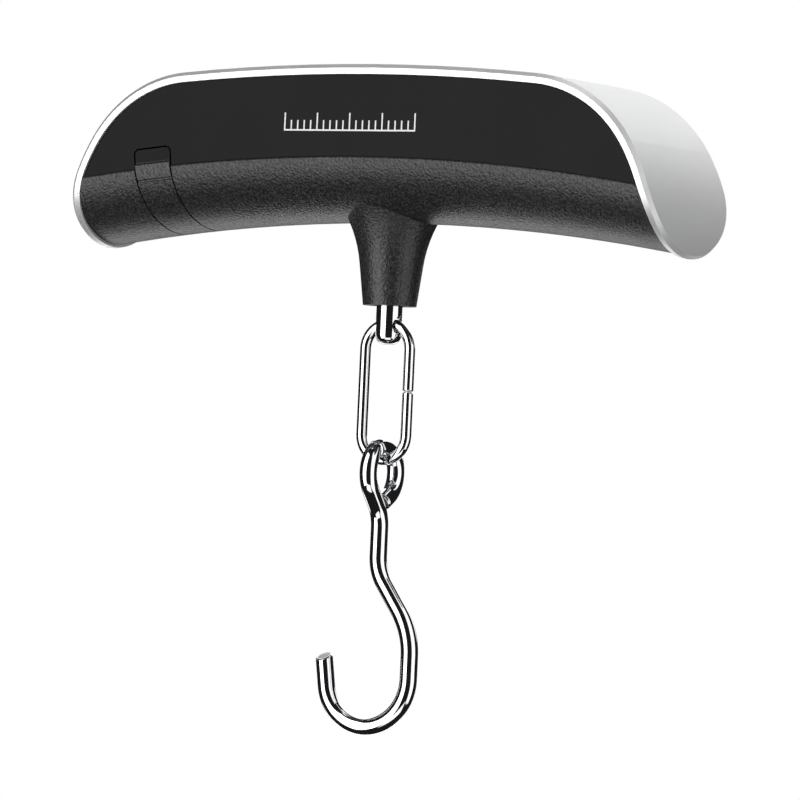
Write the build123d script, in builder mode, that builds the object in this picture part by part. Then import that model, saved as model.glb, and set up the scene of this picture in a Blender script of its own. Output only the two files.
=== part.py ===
from build123d import *
import os
from math import asin, cos, degrees, radians, sin, sqrt, tan

# A hanging digital luggage scale: an arched two-part handle that holds the weighing
# electronics, a neck under its middle, and a swivelling stud, oval link and open hook.
#
# Frame: X runs along the handle, the display faces -Y, the smooth back panel faces +Y,
# Z is up. The origin is the middle of the grip, half way up its middle section.
# All sizes are millimetres and degrees.

# ---------------------------------------------------------------- handle outline
BODY_LENGTH = 156.0
BODY_DEPTH = 40.0
GRIP_HEIGHT = 35.2
ARCH_RADIUS = 470.0  # underside of the grip, in elevation
ARCH_REACH = 12.0  # how far the swept sections turn each way about the arch centre
ROUND_HEIGHT = 16.0  # height of the half-ellipse that closes the section below
CROWN_TURN = 4.9  # turn of the long top arc, from the middle to the shoulder
SHOULDER_TURN = 58.0
SIDE_TURN = 95.0
SHOULDER_RADIUS = 32.0
SIDE_RADIUS = 45.5

# ---------------------------------------------------------------- shells
FRONT_WALL = 2.3
REAR_WALL = 2.2
RIM_CHAMFER = 0.9
TONGUE_PROUD = 0.6  # how far the silver end walls hang below the grip
GRIP_INSET = 0.1  # grip surface behind the rim plane
PANEL_RECESS = 0.6
CREASE_DROP = 2.3  # the crease lies this far below the top of the half-ellipse
CREASE_STEP = 0.5
SHELL_GAP = 0.1
LEDGE_WIDTH = 1.2
LEDGE_DEPTH = 1.2

# ---------------------------------------------------------------- neck
NECK_DROP = 19.1  # from the grip's lowest line to the neck's end
NECK_END_RADIUS = 6.2
NECK_WAIST_RADIUS = 7.4
NECK_WAIST_HEIGHT = 9.7
NECK_FLARE_RADIUS = 12.6
NECK_FLARE_HEIGHT = 23.2
NECK_BORE_GAP = 0.7

# ---------------------------------------------------------------- display and buttons
LENS_LENGTH = 46.0
LENS_HEIGHT = 13.4
LENS_THICKNESS = 1.2
LENS_CORNER = 2.5
LENS_DROP = 10.8  # from the top of the grip to the display's middle
LENS_SEAT = 2.2  # width of the ledge that the lens is glued to
LENS_GAP = 0.1
LCD_END_GAP = 1.5  # the glass stops this far inside the lens at each end
LCD_EDGE_GAP = 0.7
LCD_THICKNESS = 2.7
LCD_FRAME_WALL = 1.0
LCD_GAP = 0.1
STRIP_END_GAP = 2.5
STRIP_HEIGHT = 1.8
BOARD_END = 4.0  # board beyond the middle of each button
BOARD_HEIGHT = 15.4
BOARD_THICKNESS = 1.2
BOARD_CORNER = 1.5
BOARD_STANDOFF = 6.2  # from the front wall's inner face to the board
POST_RADIUS = 2.1
POST_OUTSIDE_LENS = 6.0
POST_SPREAD = 5.1  # height of the posts above and below the display's middle
BOARD_SCREW_RADIUS = 1.0
BOARD_SCREW_LENGTH = 5.0
BOARD_SCREW_HEAD_RADIUS = 1.9
BOARD_SCREW_HEAD = 1.3
BLOB_RADIUS = 5.0
BLOB_HEIGHT = 1.6
BLOB_X = 9.0
BUTTON_POST_GAP = 0.4
BUTTON_DROP = 1.0  # button middles below the display's middle
BUTTON_RADIUS = 4.5
BUTTON_GAP = 0.15
BUTTON_PROUD = 0.8
BUTTON_EDGE = 0.5
BUTTON_TRAVEL = 0.5
BUTTON_FLANGE_WIDTH = 1.1
BUTTON_FLANGE = 1.0
BUTTON_STEM_RADIUS = 1.6
SWITCH_SIDE = 6.0
SWITCH_HEIGHT = 3.5
PLUNGER_RADIUS = 1.75
PLUNGER_GAP = 0.06
PLUNGER_PROUD = 0.9
PLUNGER_SUNK = 1.1

# ---------------------------------------------------------------- weighing unit
FRAME_LEFT = 57.0
FRAME_RIGHT = 36.0
FRAME_WIDTH = 20.0
FRAME_THICKNESS = 2.0
FRAME_LIFT = 7.5  # top of the frame above the grip's lowest line
FRAME_HOLE_GAP = 1.6
FRAME_CORNER = 3.0
PAD_X = 26.0
PAD_LENGTH = 14.0
PAD_WIDTH = 19.0
FRAME_SCREW_Y = 7.0
FRAME_SCREW_RADIUS = 1.25
FRAME_SCREW_LENGTH = 2.4  # below the frame
FRAME_SCREW_HEAD_RADIUS = 2.3
FRAME_SCREW_HEAD = 1.4
CELL_LEFT = 55.5
CELL_RIGHT = 9.5
CELL_WIDTH = 12.0
CELL_HEIGHT = 10.0
CELL_EDGE = 0.4
SPACER_LENGTH = 18.0
SPACER_THICKNESS = 2.3
FLEX_X = -23.0
FLEX_PITCH = 10.0
FLEX_RADIUS = 3.6
FLEX_SLOT = 2.4
CELL_SCREW_PITCH = 9.0
CELL_SCREW_RADIUS = 2.0
CELL_SCREW_HEAD_RADIUS = 3.5
CELL_SCREW_HEAD = 2.4
CELL_SCREW_GRIP = 6.0  # thread engaged in the load cell
GAUGE_LENGTH = 6.0
GAUGE_WIDTH = 4.0
GAUGE_THICKNESS = 0.2
STUD_RADIUS = 3.0
STUD_BORE_GAP = 0.08
STUD_TAIL = 8.9  # from the neck's end to the stud's tip
STUD_TIP_FILLET = 2.2
NUT_WALL = 2.0
NUT_HEIGHT = 5.0
STUD_OVER_NUT = 1.7
WASHER_WIDTH = 2.3
WASHER_THICKNESS = 1.0
WASHER_GAP = 0.2

# ---------------------------------------------------------------- link and hook
LINK_WIRE_RADIUS = 1.25
LINK_BEND_RADIUS = 5.9
LINK_LEG = 19.7
LINK_EYE_GAP = 0.19  # between the curved wire and the straight cross hole in the stud
LINK_EYE_CHAMFER = 0.45
LINK_EYE_TAPER = 22.5
LINK_DROP = 4.1  # from the neck's end to the centre of the link's wire at its highest point
LINK_SEAM_DROP = 9.7  # seam below the start of the straight leg
LINK_SEAM_GAP = 0.12
HOOK_WIRE_RADIUS = 2.0
HOOK_HANG_GAP = 0.15
EYE_RADIUS = 6.3
EYE_SPREAD = 40.0  # lean of the two wires where they leave the eye
EYE_LEG_RADIUS = 8.0
EYE_CLOSE = 60.0  # the free end turns this far past the eye's middle
EYE_END = 3.0  # straight end of the wire beside the shank
SHANK_LENGTH = 6.6
BULGE_RADIUS = 11.0
BULGE_TURN = 35.0
BULGE_RUN = 7.4
BACK_RADIUS = 17.8
BACK_RUN = 5.25
BOWL_OUTER_RADIUS = 11.55
BOWL_INNER_RADIUS = 10.3
BOWL_INNER_TURN = 82.0
TIP_RUN = 8.0
TIP_CUT = 25.0  # lean of the sawn end towards +Y
TIP_EDGE = 0.5

# ---------------------------------------------------------------- battery bay
DOOR_INSET = 23.6  # middle of the bay from the +X end of the handle
DOOR_WIDTH = 9.4
DOOR_GAP = 0.4
DOOR_RISE = 4.7  # the door's upper edge above the grip's crease
DOOR_CORNER = 1.0
DOOR_CREASE_LIFT = 1.1  # the door's crease lies above the grip's crease
DOOR_GROOVE_DROP = 3.6
DOOR_GROOVE = 0.35
HINGE_Y = -1.5
HINGE_RADIUS = 1.9
HINGE_PIN_RADIUS = 0.8
HINGE_PIN_GAP = 0.05
HINGE_CLEAR = 0.05  # between the door's knuckle and the grip's lowest line
HINGE_PIN_REACH = 1.8
HINGE_LUG_RADIUS = 1.85
HINGE_LUG = 2.2
COIN_RADIUS = 10.0
COIN_THICKNESS = 3.2
COIN_STEP = 0.3
COIN_CAP_EDGE = 2.4  # the smaller pole's disc stops this far inside the rim
COIN_PANEL_ROOM = 1.85  # between the cradle and the back panel
COIN_LIFT = 1.2  # above the inside of the grip
COIN_GAP = 0.15
CONTACT_THICKNESS = 0.3
CONTACT_WIDTH = 5.0
CONTACT_TAB = 3.0
CRADLE_WALL = 1.2
CRADLE_TAB = 3.0
LEAD_RADIUS = 0.6
LEAD_BEND = 1.2
LEAD_RISE = 1.55  # the leads turn this far above the contact tabs
LEAD_PITCH = 1.3

# ---------------------------------------------------------------- worked-out places
HUB = ARCH_RADIUS + GRIP_HEIGHT / 2  # from the arch centre up to the origin
ARCH_AXIS = Axis((0, 0, -HUB), (0, 1, 0))
ROUND_TOP = ROUND_HEIGHT - GRIP_HEIGHT / 2
CREASE_Z = ROUND_TOP - CREASE_DROP
NECK_BOTTOM = -GRIP_HEIGHT / 2 - NECK_DROP
NECK_BORE_RADIUS = STUD_RADIUS + NECK_BORE_GAP
FRONT_FACE = -BODY_DEPTH / 2
FRONT_INSIDE = FRONT_FACE + FRONT_WALL
PANEL_FACE = BODY_DEPTH / 2 - PANEL_RECESS
PANEL_INSIDE = PANEL_FACE - REAR_WALL
GRIP_HALF = BODY_DEPTH / 2 - GRIP_INSET
BOARD_FRONT = FRONT_INSIDE + BOARD_STANDOFF
BOARD_BACK = BOARD_FRONT + BOARD_THICKNESS
LENS_CENTRE_Z = GRIP_HEIGHT / 2 - LENS_DROP
LCD_LENGTH = LENS_LENGTH - 2 * LCD_END_GAP
LCD_HEIGHT = LENS_HEIGHT - 2 * LCD_EDGE_GAP
LCD_FRONT = FRONT_INSIDE + LCD_GAP
LCD_BACK = LCD_FRONT + LCD_THICKNESS
POST_X = LENS_LENGTH / 2 + POST_OUTSIDE_LENS
BUTTON_Z = LENS_CENTRE_Z - BUTTON_DROP
BUTTON_FLANGE_RADIUS = BUTTON_RADIUS + BUTTON_FLANGE_WIDTH
BUTTON_X = POST_X + sqrt(
    (BUTTON_FLANGE_RADIUS + POST_RADIUS + BUTTON_POST_GAP) ** 2 - (POST_SPREAD - BUTTON_DROP) ** 2
)
BOARD_LENGTH = 2 * (BUTTON_X + BOARD_END)
FRAME_TOP = FRAME_LIFT - GRIP_HEIGHT / 2
FRAME_BOTTOM = FRAME_TOP - FRAME_THICKNESS
CELL_BOTTOM = FRAME_TOP + SPACER_THICKNESS
CELL_TOP = CELL_BOTTOM + CELL_HEIGHT
CELL_MIDDLE = CELL_BOTTOM + CELL_HEIGHT / 2
CELL_SCREW_X = -CELL_LEFT + SPACER_LENGTH / 2
WASHER_TOP = CELL_TOP + WASHER_THICKNESS
NUT_TOP = WASHER_TOP + NUT_HEIGHT
STUD_TOP = NUT_TOP + STUD_OVER_NUT
STUD_TIP = NECK_BOTTOM - STUD_TAIL
LINK_RISE = LINK_BEND_RADIUS - sqrt(LINK_BEND_RADIUS**2 - STUD_RADIUS**2)
LINK_SLANT = LINK_BEND_RADIUS / (LINK_BEND_RADIUS - LINK_RISE)  # wire's cut height over its width at the stud
LINK_EYE_RADIUS = (LINK_RISE + LINK_WIRE_RADIUS * (LINK_SLANT + 1)) / 2 + LINK_EYE_GAP
LINK_TOP_Z = NECK_BOTTOM - LINK_DROP
LINK_EYE_Z = LINK_TOP_Z - (LINK_RISE + LINK_WIRE_RADIUS * (LINK_SLANT - 1)) / 2
LINK_UPPER_BEND_Z = LINK_TOP_Z - LINK_BEND_RADIUS
LINK_LOWER_BEND_Z = LINK_UPPER_BEND_Z - LINK_LEG
LINK_SEAM_Z = LINK_UPPER_BEND_Z - LINK_SEAM_DROP
EYE_TOP_Z = LINK_LOWER_BEND_Z - (LINK_BEND_RADIUS - LINK_WIRE_RADIUS - HOOK_WIRE_RADIUS - HOOK_HANG_GAP)
EYE_CENTRE_Z = EYE_TOP_Z - EYE_RADIUS
HINGE_Z = ROUND_TOP - ROUND_HEIGHT * sqrt(1 - (HINGE_Y / GRIP_HALF) ** 2) + HINGE_RADIUS + HINGE_CLEAR
DOOR_ANGLE = degrees(asin((BODY_LENGTH / 2 - DOOR_INSET) / HUB))  # place of the bay along the arch
DOOR_TOP = CREASE_Z + DOOR_RISE
COIN_HALF = COIN_THICKNESS / 2
POCKET_HALF = COIN_HALF + CONTACT_THICKNESS
CRADLE_HALF = POCKET_HALF + CRADLE_WALL
POCKET_RADIUS = COIN_RADIUS + COIN_GAP
CRADLE_RADIUS = POCKET_RADIUS + CRADLE_WALL
COIN_Y = PANEL_INSIDE - COIN_PANEL_ROOM - CRADLE_RADIUS
COIN_Z = ROUND_TOP - ROUND_HEIGHT + REAR_WALL + COIN_LIFT + COIN_RADIUS
CONTACT_Y = COIN_Y - CONTACT_WIDTH
CONTACT_TOP = COIN_Z + CRADLE_RADIUS + CONTACT_TAB

os.makedirs("parts", exist_ok=True)


def save(builder, label):
    """Label a finished piece and write it as its own STEP file."""
    builder.part.label = label
    export_step(builder.part, f"parts/{label}.step")


def outline(inset):
    """Elevation of the handle as tangent arcs, drawn inset from the outer surface; open far below."""
    shoulder_share = sin(radians(SHOULDER_TURN)) - sin(radians(CROWN_TURN))
    side_share = 1 - sin(radians(SHOULDER_TURN))
    crown_x = BODY_LENGTH / 2 - SHOULDER_RADIUS * shoulder_share - SIDE_RADIUS * side_share
    crown_radius = crown_x / sin(radians(CROWN_TURN))
    floor_z = -2 * GRIP_HEIGHT - inset
    with BuildSketch() as face:
        with BuildLine():
            crown = JernArc((0, GRIP_HEIGHT / 2 - inset), (1, 0), crown_radius - inset, -CROWN_TURN)
            shoulder = JernArc(crown @ 1, crown % 1, SHOULDER_RADIUS - inset, CROWN_TURN - SHOULDER_TURN)
            side = JernArc(shoulder @ 1, shoulder % 1, SIDE_RADIUS - inset, SHOULDER_TURN - SIDE_TURN)
            Polyline(side @ 1, ((side @ 1).X, floor_z), (0, floor_z))
            mirror(about=Plane.YZ)
        make_face()
    return face.sketch


def arch_plane(angle):
    """Plane through the arch axis: local x is the row's Y, local y points out along the arch's radius."""
    return Plane(origin=(0, 0, -HUB), x_dir=(0, 1, 0), z_dir=(cos(radians(angle)), 0, -sin(radians(angle))))


def trough(half_depth, round_height):
    """Section with upright sides above and a half-ellipse below, in arch_plane coordinates."""
    with BuildSketch() as face:
        with BuildLine():
            bowl = EllipticalCenterArc((0, HUB + ROUND_TOP), half_depth, round_height, 180, arc_size=180)
            Polyline(bowl @ 1, (half_depth, HUB + GRIP_HEIGHT), (-half_depth, HUB + GRIP_HEIGHT), bowl @ 0)
        make_face()
    return face.sketch


def rear_section(crease_lift):
    """Grip and back panel in section: panel, crease step, then the half-ellipse round to the front."""
    crease = asin((CREASE_DROP - crease_lift) / ROUND_HEIGHT)
    with BuildSketch() as face:
        with BuildLine():
            grip = EllipticalCenterArc((0, HUB + ROUND_TOP), GRIP_HALF, ROUND_HEIGHT, 180,
                                       arc_size=180 - degrees(crease))
            Polyline(
                grip @ 1,
                (PANEL_FACE, (grip @ 1).Y + CREASE_STEP),
                (PANEL_FACE, HUB + GRIP_HEIGHT),
                (0, HUB + GRIP_HEIGHT),
                (0, HUB + ROUND_TOP),
                grip @ 0,
            )
        make_face()
    return face.sketch


def band(low_y, high_y, low_z, high_z):
    """Rectangle in arch_plane coordinates, between two depths and two local heights."""
    with BuildSketch() as face:
        with Locations(((low_y + high_y) / 2, HUB + (low_z + high_z) / 2)):
            Rectangle(high_y - low_y, high_z - low_z)
    return face.sketch


def arch_angle(length):
    """Angle about the arch centre of a length measured at the origin's radius."""
    return degrees(asin(length / HUB))


def arch_point(y, z, tangent=0.0):
    """Row coordinates of a point given in the battery bay's local depth, height and tangent offset."""
    turn = radians(DOOR_ANGLE)
    return (
        (HUB + z) * sin(turn) + tangent * cos(turn),
        y,
        (HUB + z) * cos(turn) - HUB - tangent * sin(turn),
    )


# ================================================================ shells
# mouth: the part of the front wall that the grip takes over, below the front crease
with BuildPart() as front_mouth:
    with BuildSketch(Plane.XZ.offset(BODY_DEPTH)):
        add(outline(FRONT_WALL))
    extrude(amount=-BODY_DEPTH - FRONT_INSIDE)
    with BuildSketch(arch_plane(-ARCH_REACH)):
        add(band(-2 * BODY_DEPTH, 0, -2 * GRIP_HEIGHT, ROUND_TOP + SHELL_GAP))
    revolve(axis=ARCH_AXIS, revolution_arc=2 * ARCH_REACH, mode=Mode.INTERSECT)

# ledge: the lip inside the silver rim that the back panel rests on
ledge_back = PANEL_INSIDE - SHELL_GAP
with BuildPart() as panel_ledge:
    with BuildSketch(Plane.XZ.offset(-ledge_back)):
        add(outline(FRONT_WALL / 2))
        add(outline(FRONT_WALL + LEDGE_WIDTH), mode=Mode.SUBTRACT)
    extrude(amount=LEDGE_DEPTH)
    with BuildSketch(arch_plane(-ARCH_REACH)):
        add(band(0, BODY_DEPTH, ROUND_TOP, GRIP_HEIGHT))
    revolve(axis=ARCH_AXIS, revolution_arc=2 * ARCH_REACH, mode=Mode.INTERSECT)

post_places = [(x, LENS_CENTRE_Z + z) for x in (-POST_X, POST_X) for z in (-POST_SPREAD, POST_SPREAD)]
button_places = [(-BUTTON_X, BUTTON_Z), (BUTTON_X, BUTTON_Z)]

with BuildPart() as front_shell:
    with BuildSketch(Plane.XZ):
        add(outline(0))
    extrude(amount=BODY_DEPTH / 2, both=True)
    with BuildSketch(arch_plane(-ARCH_REACH)):
        add(trough(BODY_DEPTH / 2, ROUND_HEIGHT + TONGUE_PROUD))
    revolve(axis=ARCH_AXIS, revolution_arc=2 * ARCH_REACH, mode=Mode.INTERSECT)
    wrap_faces = front_shell.faces().filter_by(GeomType.CYLINDER).filter_by(
        lambda f: f.center().Z > ROUND_TOP - ROUND_HEIGHT and abs(f.center().Y) < RIM_CHAMFER)
    rim_edges = ShapeList(e for f in wrap_faces for e in f.edges()).filter_by(Axis.Y, reverse=True)
    chamfer(rim_edges, RIM_CHAMFER)
    # hollow from behind
    with BuildSketch(Plane.XZ.offset(-FRONT_INSIDE)):
        add(outline(FRONT_WALL))
    extrude(amount=-BODY_DEPTH, mode=Mode.SUBTRACT)
    add(front_mouth.part, mode=Mode.SUBTRACT)
    add(panel_ledge.part)
    # lens pocket and the window behind it
    with BuildSketch(Plane.XZ.offset(-FRONT_FACE)):
        with Locations((0, LENS_CENTRE_Z)):
            RectangleRounded(LENS_LENGTH + 2 * LENS_GAP, LENS_HEIGHT + 2 * LENS_GAP, LENS_CORNER)
    extrude(amount=-LENS_THICKNESS - LENS_GAP, mode=Mode.SUBTRACT)
    with BuildSketch(Plane.XZ.offset(-FRONT_FACE)):
        with Locations((0, LENS_CENTRE_Z)):
            RectangleRounded(LENS_LENGTH - 2 * LENS_SEAT, LENS_HEIGHT - 2 * LENS_SEAT, LENS_CORNER / 2)
        with Locations(*button_places):
            Circle(BUTTON_RADIUS + BUTTON_GAP)
    extrude(amount=-2 * FRONT_WALL, mode=Mode.SUBTRACT)
    # posts for the board
    with BuildSketch(Plane.XZ.offset(-FRONT_INSIDE + FRONT_WALL / 2)):
        with Locations(*post_places):
            Circle(POST_RADIUS)
    extrude(amount=-BOARD_STANDOFF - FRONT_WALL / 2)
    with BuildSketch(Plane.XZ.offset(-BOARD_FRONT)):
        with Locations(*post_places):
            Circle(BOARD_SCREW_RADIUS)
    extrude(amount=BOARD_SCREW_LENGTH - BOARD_THICKNESS, mode=Mode.SUBTRACT)
save(front_shell, "front_shell")

# pads under the steel frame, shaped by the inside of the grip
frame_screw_places = [(x, y) for x in (-PAD_X, PAD_X) for y in (-FRAME_SCREW_Y, FRAME_SCREW_Y)]
with BuildPart() as frame_pads:
    with BuildSketch(Plane.XY.offset(FRAME_BOTTOM)):
        with Locations((-PAD_X, 0), (PAD_X, 0)):
            Rectangle(PAD_LENGTH, PAD_WIDTH)
    extrude(amount=-GRIP_HEIGHT / 2)
    with BuildSketch(arch_plane(-ARCH_REACH)):
        add(trough(PANEL_INSIDE + REAR_WALL / 2, ROUND_HEIGHT - REAR_WALL / 2))
    revolve(axis=ARCH_AXIS, revolution_arc=2 * ARCH_REACH, mode=Mode.INTERSECT)

# opening for the battery door, with rounded upper corners
opening_half = arch_angle(DOOR_WIDTH / 2 + DOOR_GAP)
with BuildPart() as door_opening:
    with BuildSketch(arch_plane(DOOR_ANGLE - opening_half)):
        add(band(HINGE_Y - HINGE_RADIUS - DOOR_GAP, BODY_DEPTH, -GRIP_HEIGHT, DOOR_TOP + DOOR_GAP))
    revolve(axis=ARCH_AXIS, revolution_arc=2 * opening_half)
    fillet(door_opening.edges().filter_by(Axis.Y).group_by(Axis.Z)[-2:], DOOR_CORNER + DOOR_GAP)

bay = arch_plane(DOOR_ANGLE)
lug_start = DOOR_WIDTH / 2 + DOOR_GAP
with BuildPart() as rear_shell:
    with BuildSketch(arch_plane(-ARCH_REACH)):
        add(rear_section(0))
    revolve(axis=ARCH_AXIS, revolution_arc=2 * ARCH_REACH)
    with BuildSketch(Plane.XZ):
        add(outline(FRONT_WALL + SHELL_GAP))
    extrude(amount=BODY_DEPTH, both=True, mode=Mode.INTERSECT)
    # flared neck
    with BuildSketch(Plane.XZ):
        with BuildLine():
            waist = (NECK_WAIST_RADIUS, NECK_BOTTOM + NECK_WAIST_HEIGHT)
            taper = Line((NECK_END_RADIUS, NECK_BOTTOM), waist)
            flare = TangentArc(waist, (NECK_FLARE_RADIUS, NECK_BOTTOM + NECK_FLARE_HEIGHT), tangent=taper % 1)
            Polyline(
                flare @ 1,
                (NECK_FLARE_RADIUS, ROUND_TOP - ROUND_HEIGHT / 2),
                (0, ROUND_TOP - ROUND_HEIGHT / 2),
                (0, NECK_BOTTOM),
                taper @ 0,
            )
        make_face()
    revolve(axis=Axis.Z)
    # hollow inside, then the stud's bore
    with BuildSketch(arch_plane(-ARCH_REACH)):
        add(trough(PANEL_INSIDE, ROUND_HEIGHT - REAR_WALL))
    revolve(axis=ARCH_AXIS, revolution_arc=2 * ARCH_REACH, mode=Mode.SUBTRACT)
    with BuildSketch(Plane.XY.offset(NECK_BOTTOM)):
        Circle(NECK_BORE_RADIUS)
    extrude(amount=GRIP_HEIGHT, mode=Mode.SUBTRACT)
    add(frame_pads.part)
    with BuildSketch(Plane.XY.offset(FRAME_BOTTOM)):
        with Locations(*frame_screw_places):
            Circle(FRAME_SCREW_RADIUS)
    extrude(amount=-FRAME_SCREW_LENGTH, mode=Mode.SUBTRACT)
    add(door_opening.part, mode=Mode.SUBTRACT)
    # hinge lugs beside the opening
    for side in (-1, 1):
        with BuildSketch(bay.offset(side * lug_start)):
            with Locations((HINGE_Y, HUB + HINGE_Z)):
                Circle(HINGE_LUG_RADIUS)
        extrude(amount=side * HINGE_LUG)
    with BuildSketch(bay):
        with Locations((HINGE_Y, HUB + HINGE_Z)):
            Circle(HINGE_PIN_RADIUS + HINGE_PIN_GAP)
    extrude(amount=lug_start + HINGE_LUG, both=True, mode=Mode.SUBTRACT)
save(rear_shell, "rear_shell")

door_half = arch_angle(DOOR_WIDTH / 2)
with BuildPart() as door_zone:
    with BuildSketch(arch_plane(DOOR_ANGLE - door_half)):
        add(band(HINGE_Y, BODY_DEPTH, -GRIP_HEIGHT, DOOR_TOP))
    revolve(axis=ARCH_AXIS, revolution_arc=2 * door_half)
    fillet(door_zone.edges().filter_by(Axis.Y).group_by(Axis.Z)[-2:], DOOR_CORNER)

with BuildPart() as battery_door:
    with BuildSketch(arch_plane(DOOR_ANGLE - door_half)):
        add(rear_section(DOOR_CREASE_LIFT))
        add(trough(PANEL_INSIDE, ROUND_HEIGHT - REAR_WALL), mode=Mode.SUBTRACT)
    revolve(axis=ARCH_AXIS, revolution_arc=2 * door_half)
    add(door_zone.part, mode=Mode.INTERSECT)
    # shallow finger groove across the door
    with BuildSketch(arch_plane(DOOR_ANGLE - door_half)):
        groove_z = CREASE_Z + DOOR_CREASE_LIFT - DOOR_GROOVE_DROP
        groove_y = GRIP_HALF * sqrt(1 - ((groove_z - ROUND_TOP) / ROUND_HEIGHT) ** 2)
        with Locations((groove_y, HUB + groove_z)):
            Circle(DOOR_GROOVE)
    revolve(axis=ARCH_AXIS, revolution_arc=2 * door_half, mode=Mode.SUBTRACT)
    with BuildSketch(bay):
        with Locations((HINGE_Y, HUB + HINGE_Z)):
            Circle(HINGE_RADIUS)
    extrude(amount=DOOR_WIDTH / 2, both=True)
    with BuildSketch(bay):
        with Locations((HINGE_Y, HUB + HINGE_Z)):
            Circle(HINGE_PIN_RADIUS)
    extrude(amount=lug_start + HINGE_PIN_REACH, both=True)
save(battery_door, "battery_door")

# ================================================================ display and controls
with BuildPart() as display_lens:
    with BuildSketch(Plane.XZ.offset(-FRONT_FACE)):
        with Locations((0, LENS_CENTRE_Z)):
            RectangleRounded(LENS_LENGTH, LENS_HEIGHT, LENS_CORNER - LENS_GAP)
    extrude(amount=-LENS_THICKNESS)
save(display_lens, "display_lens")

with BuildPart() as lcd_panel:
    with BuildSketch(Plane.XZ.offset(-LCD_FRONT)):
        with Locations((0, LENS_CENTRE_Z)):
            Rectangle(LCD_LENGTH, LCD_HEIGHT)
    extrude(amount=-LCD_THICKNESS)
save(lcd_panel, "lcd_panel")

with BuildPart() as lcd_frame:
    with BuildSketch(Plane.XZ.offset(-LCD_FRONT)):
        with Locations((0, LENS_CENTRE_Z)):
            RectangleRounded(LCD_LENGTH + 2 * LCD_FRAME_WALL, LCD_HEIGHT + 2 * LCD_FRAME_WALL, LCD_FRAME_WALL)
    extrude(amount=LCD_FRONT - BOARD_FRONT)
    with BuildSketch(Plane.XZ.offset(-LCD_FRONT)):
        with Locations((0, LENS_CENTRE_Z)):
            Rectangle(LCD_LENGTH + LCD_GAP, LCD_HEIGHT + LCD_GAP)
    extrude(amount=-LCD_THICKNESS, mode=Mode.SUBTRACT)
    with BuildSketch(Plane.XZ.offset(-LCD_BACK)):
        with Locations((0, LENS_CENTRE_Z)):
            Rectangle(LCD_LENGTH - 2 * LCD_FRAME_WALL, LCD_HEIGHT - 2 * LCD_FRAME_WALL)
    extrude(amount=LCD_BACK - BOARD_FRONT, mode=Mode.SUBTRACT)
save(lcd_frame, "lcd_frame")

strip_z = LENS_CENTRE_Z - LCD_HEIGHT / 2 + LCD_FRAME_WALL + STRIP_HEIGHT / 2
strip_length = LCD_LENGTH - 2 * STRIP_END_GAP
with BuildPart() as elastomer_strip:
    with BuildSketch(Plane.XZ.offset(-LCD_BACK)):
        with Locations((0, strip_z)):
            Rectangle(strip_length, STRIP_HEIGHT)
    extrude(amount=LCD_BACK - BOARD_FRONT)
save(elastomer_strip, "elastomer_strip")

with BuildPart() as circuit_board:
    with BuildSketch(Plane.XZ.offset(-BOARD_FRONT)):
        with Locations((0, LENS_CENTRE_Z - LENS_SEAT / 2)):
            RectangleRounded(BOARD_LENGTH, BOARD_HEIGHT, BOARD_CORNER)
        with Locations(*post_places):
            Circle(BOARD_SCREW_RADIUS, mode=Mode.SUBTRACT)
    extrude(amount=-BOARD_THICKNESS)
save(circuit_board, "circuit_board")

with BuildPart() as board_screws:
    with BuildSketch(Plane.XZ.offset(-BOARD_BACK)):
        with Locations(*post_places):
            Circle(BOARD_SCREW_RADIUS)
    extrude(amount=BOARD_SCREW_LENGTH)
    with BuildSketch(Plane.XZ.offset(-BOARD_BACK)):
        with Locations(*post_places):
            Circle(BOARD_SCREW_HEAD_RADIUS)
    extrude(amount=-BOARD_SCREW_HEAD)
save(board_screws, "board_screws")

# the controller is a bare chip under a low resin dome
with BuildPart() as controller_chip:
    with BuildSketch(Plane.XY.offset(LENS_CENTRE_Z)):
        with BuildLine():
            dome = ThreePointArc(
                (BLOB_X - BLOB_RADIUS, BOARD_BACK),
                (BLOB_X, BOARD_BACK + BLOB_HEIGHT),
                (BLOB_X + BLOB_RADIUS, BOARD_BACK),
            )
            Line(dome @ 1, dome @ 0)
        make_face()
        with Locations((BLOB_X - BLOB_RADIUS, BOARD_BACK)):
            Rectangle(2 * BLOB_RADIUS, 4 * BLOB_HEIGHT, mode=Mode.SUBTRACT)
    revolve(axis=Axis((BLOB_X, BOARD_BACK, LENS_CENTRE_Z), (0, 1, 0)))
save(controller_chip, "controller_chip")

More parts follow.
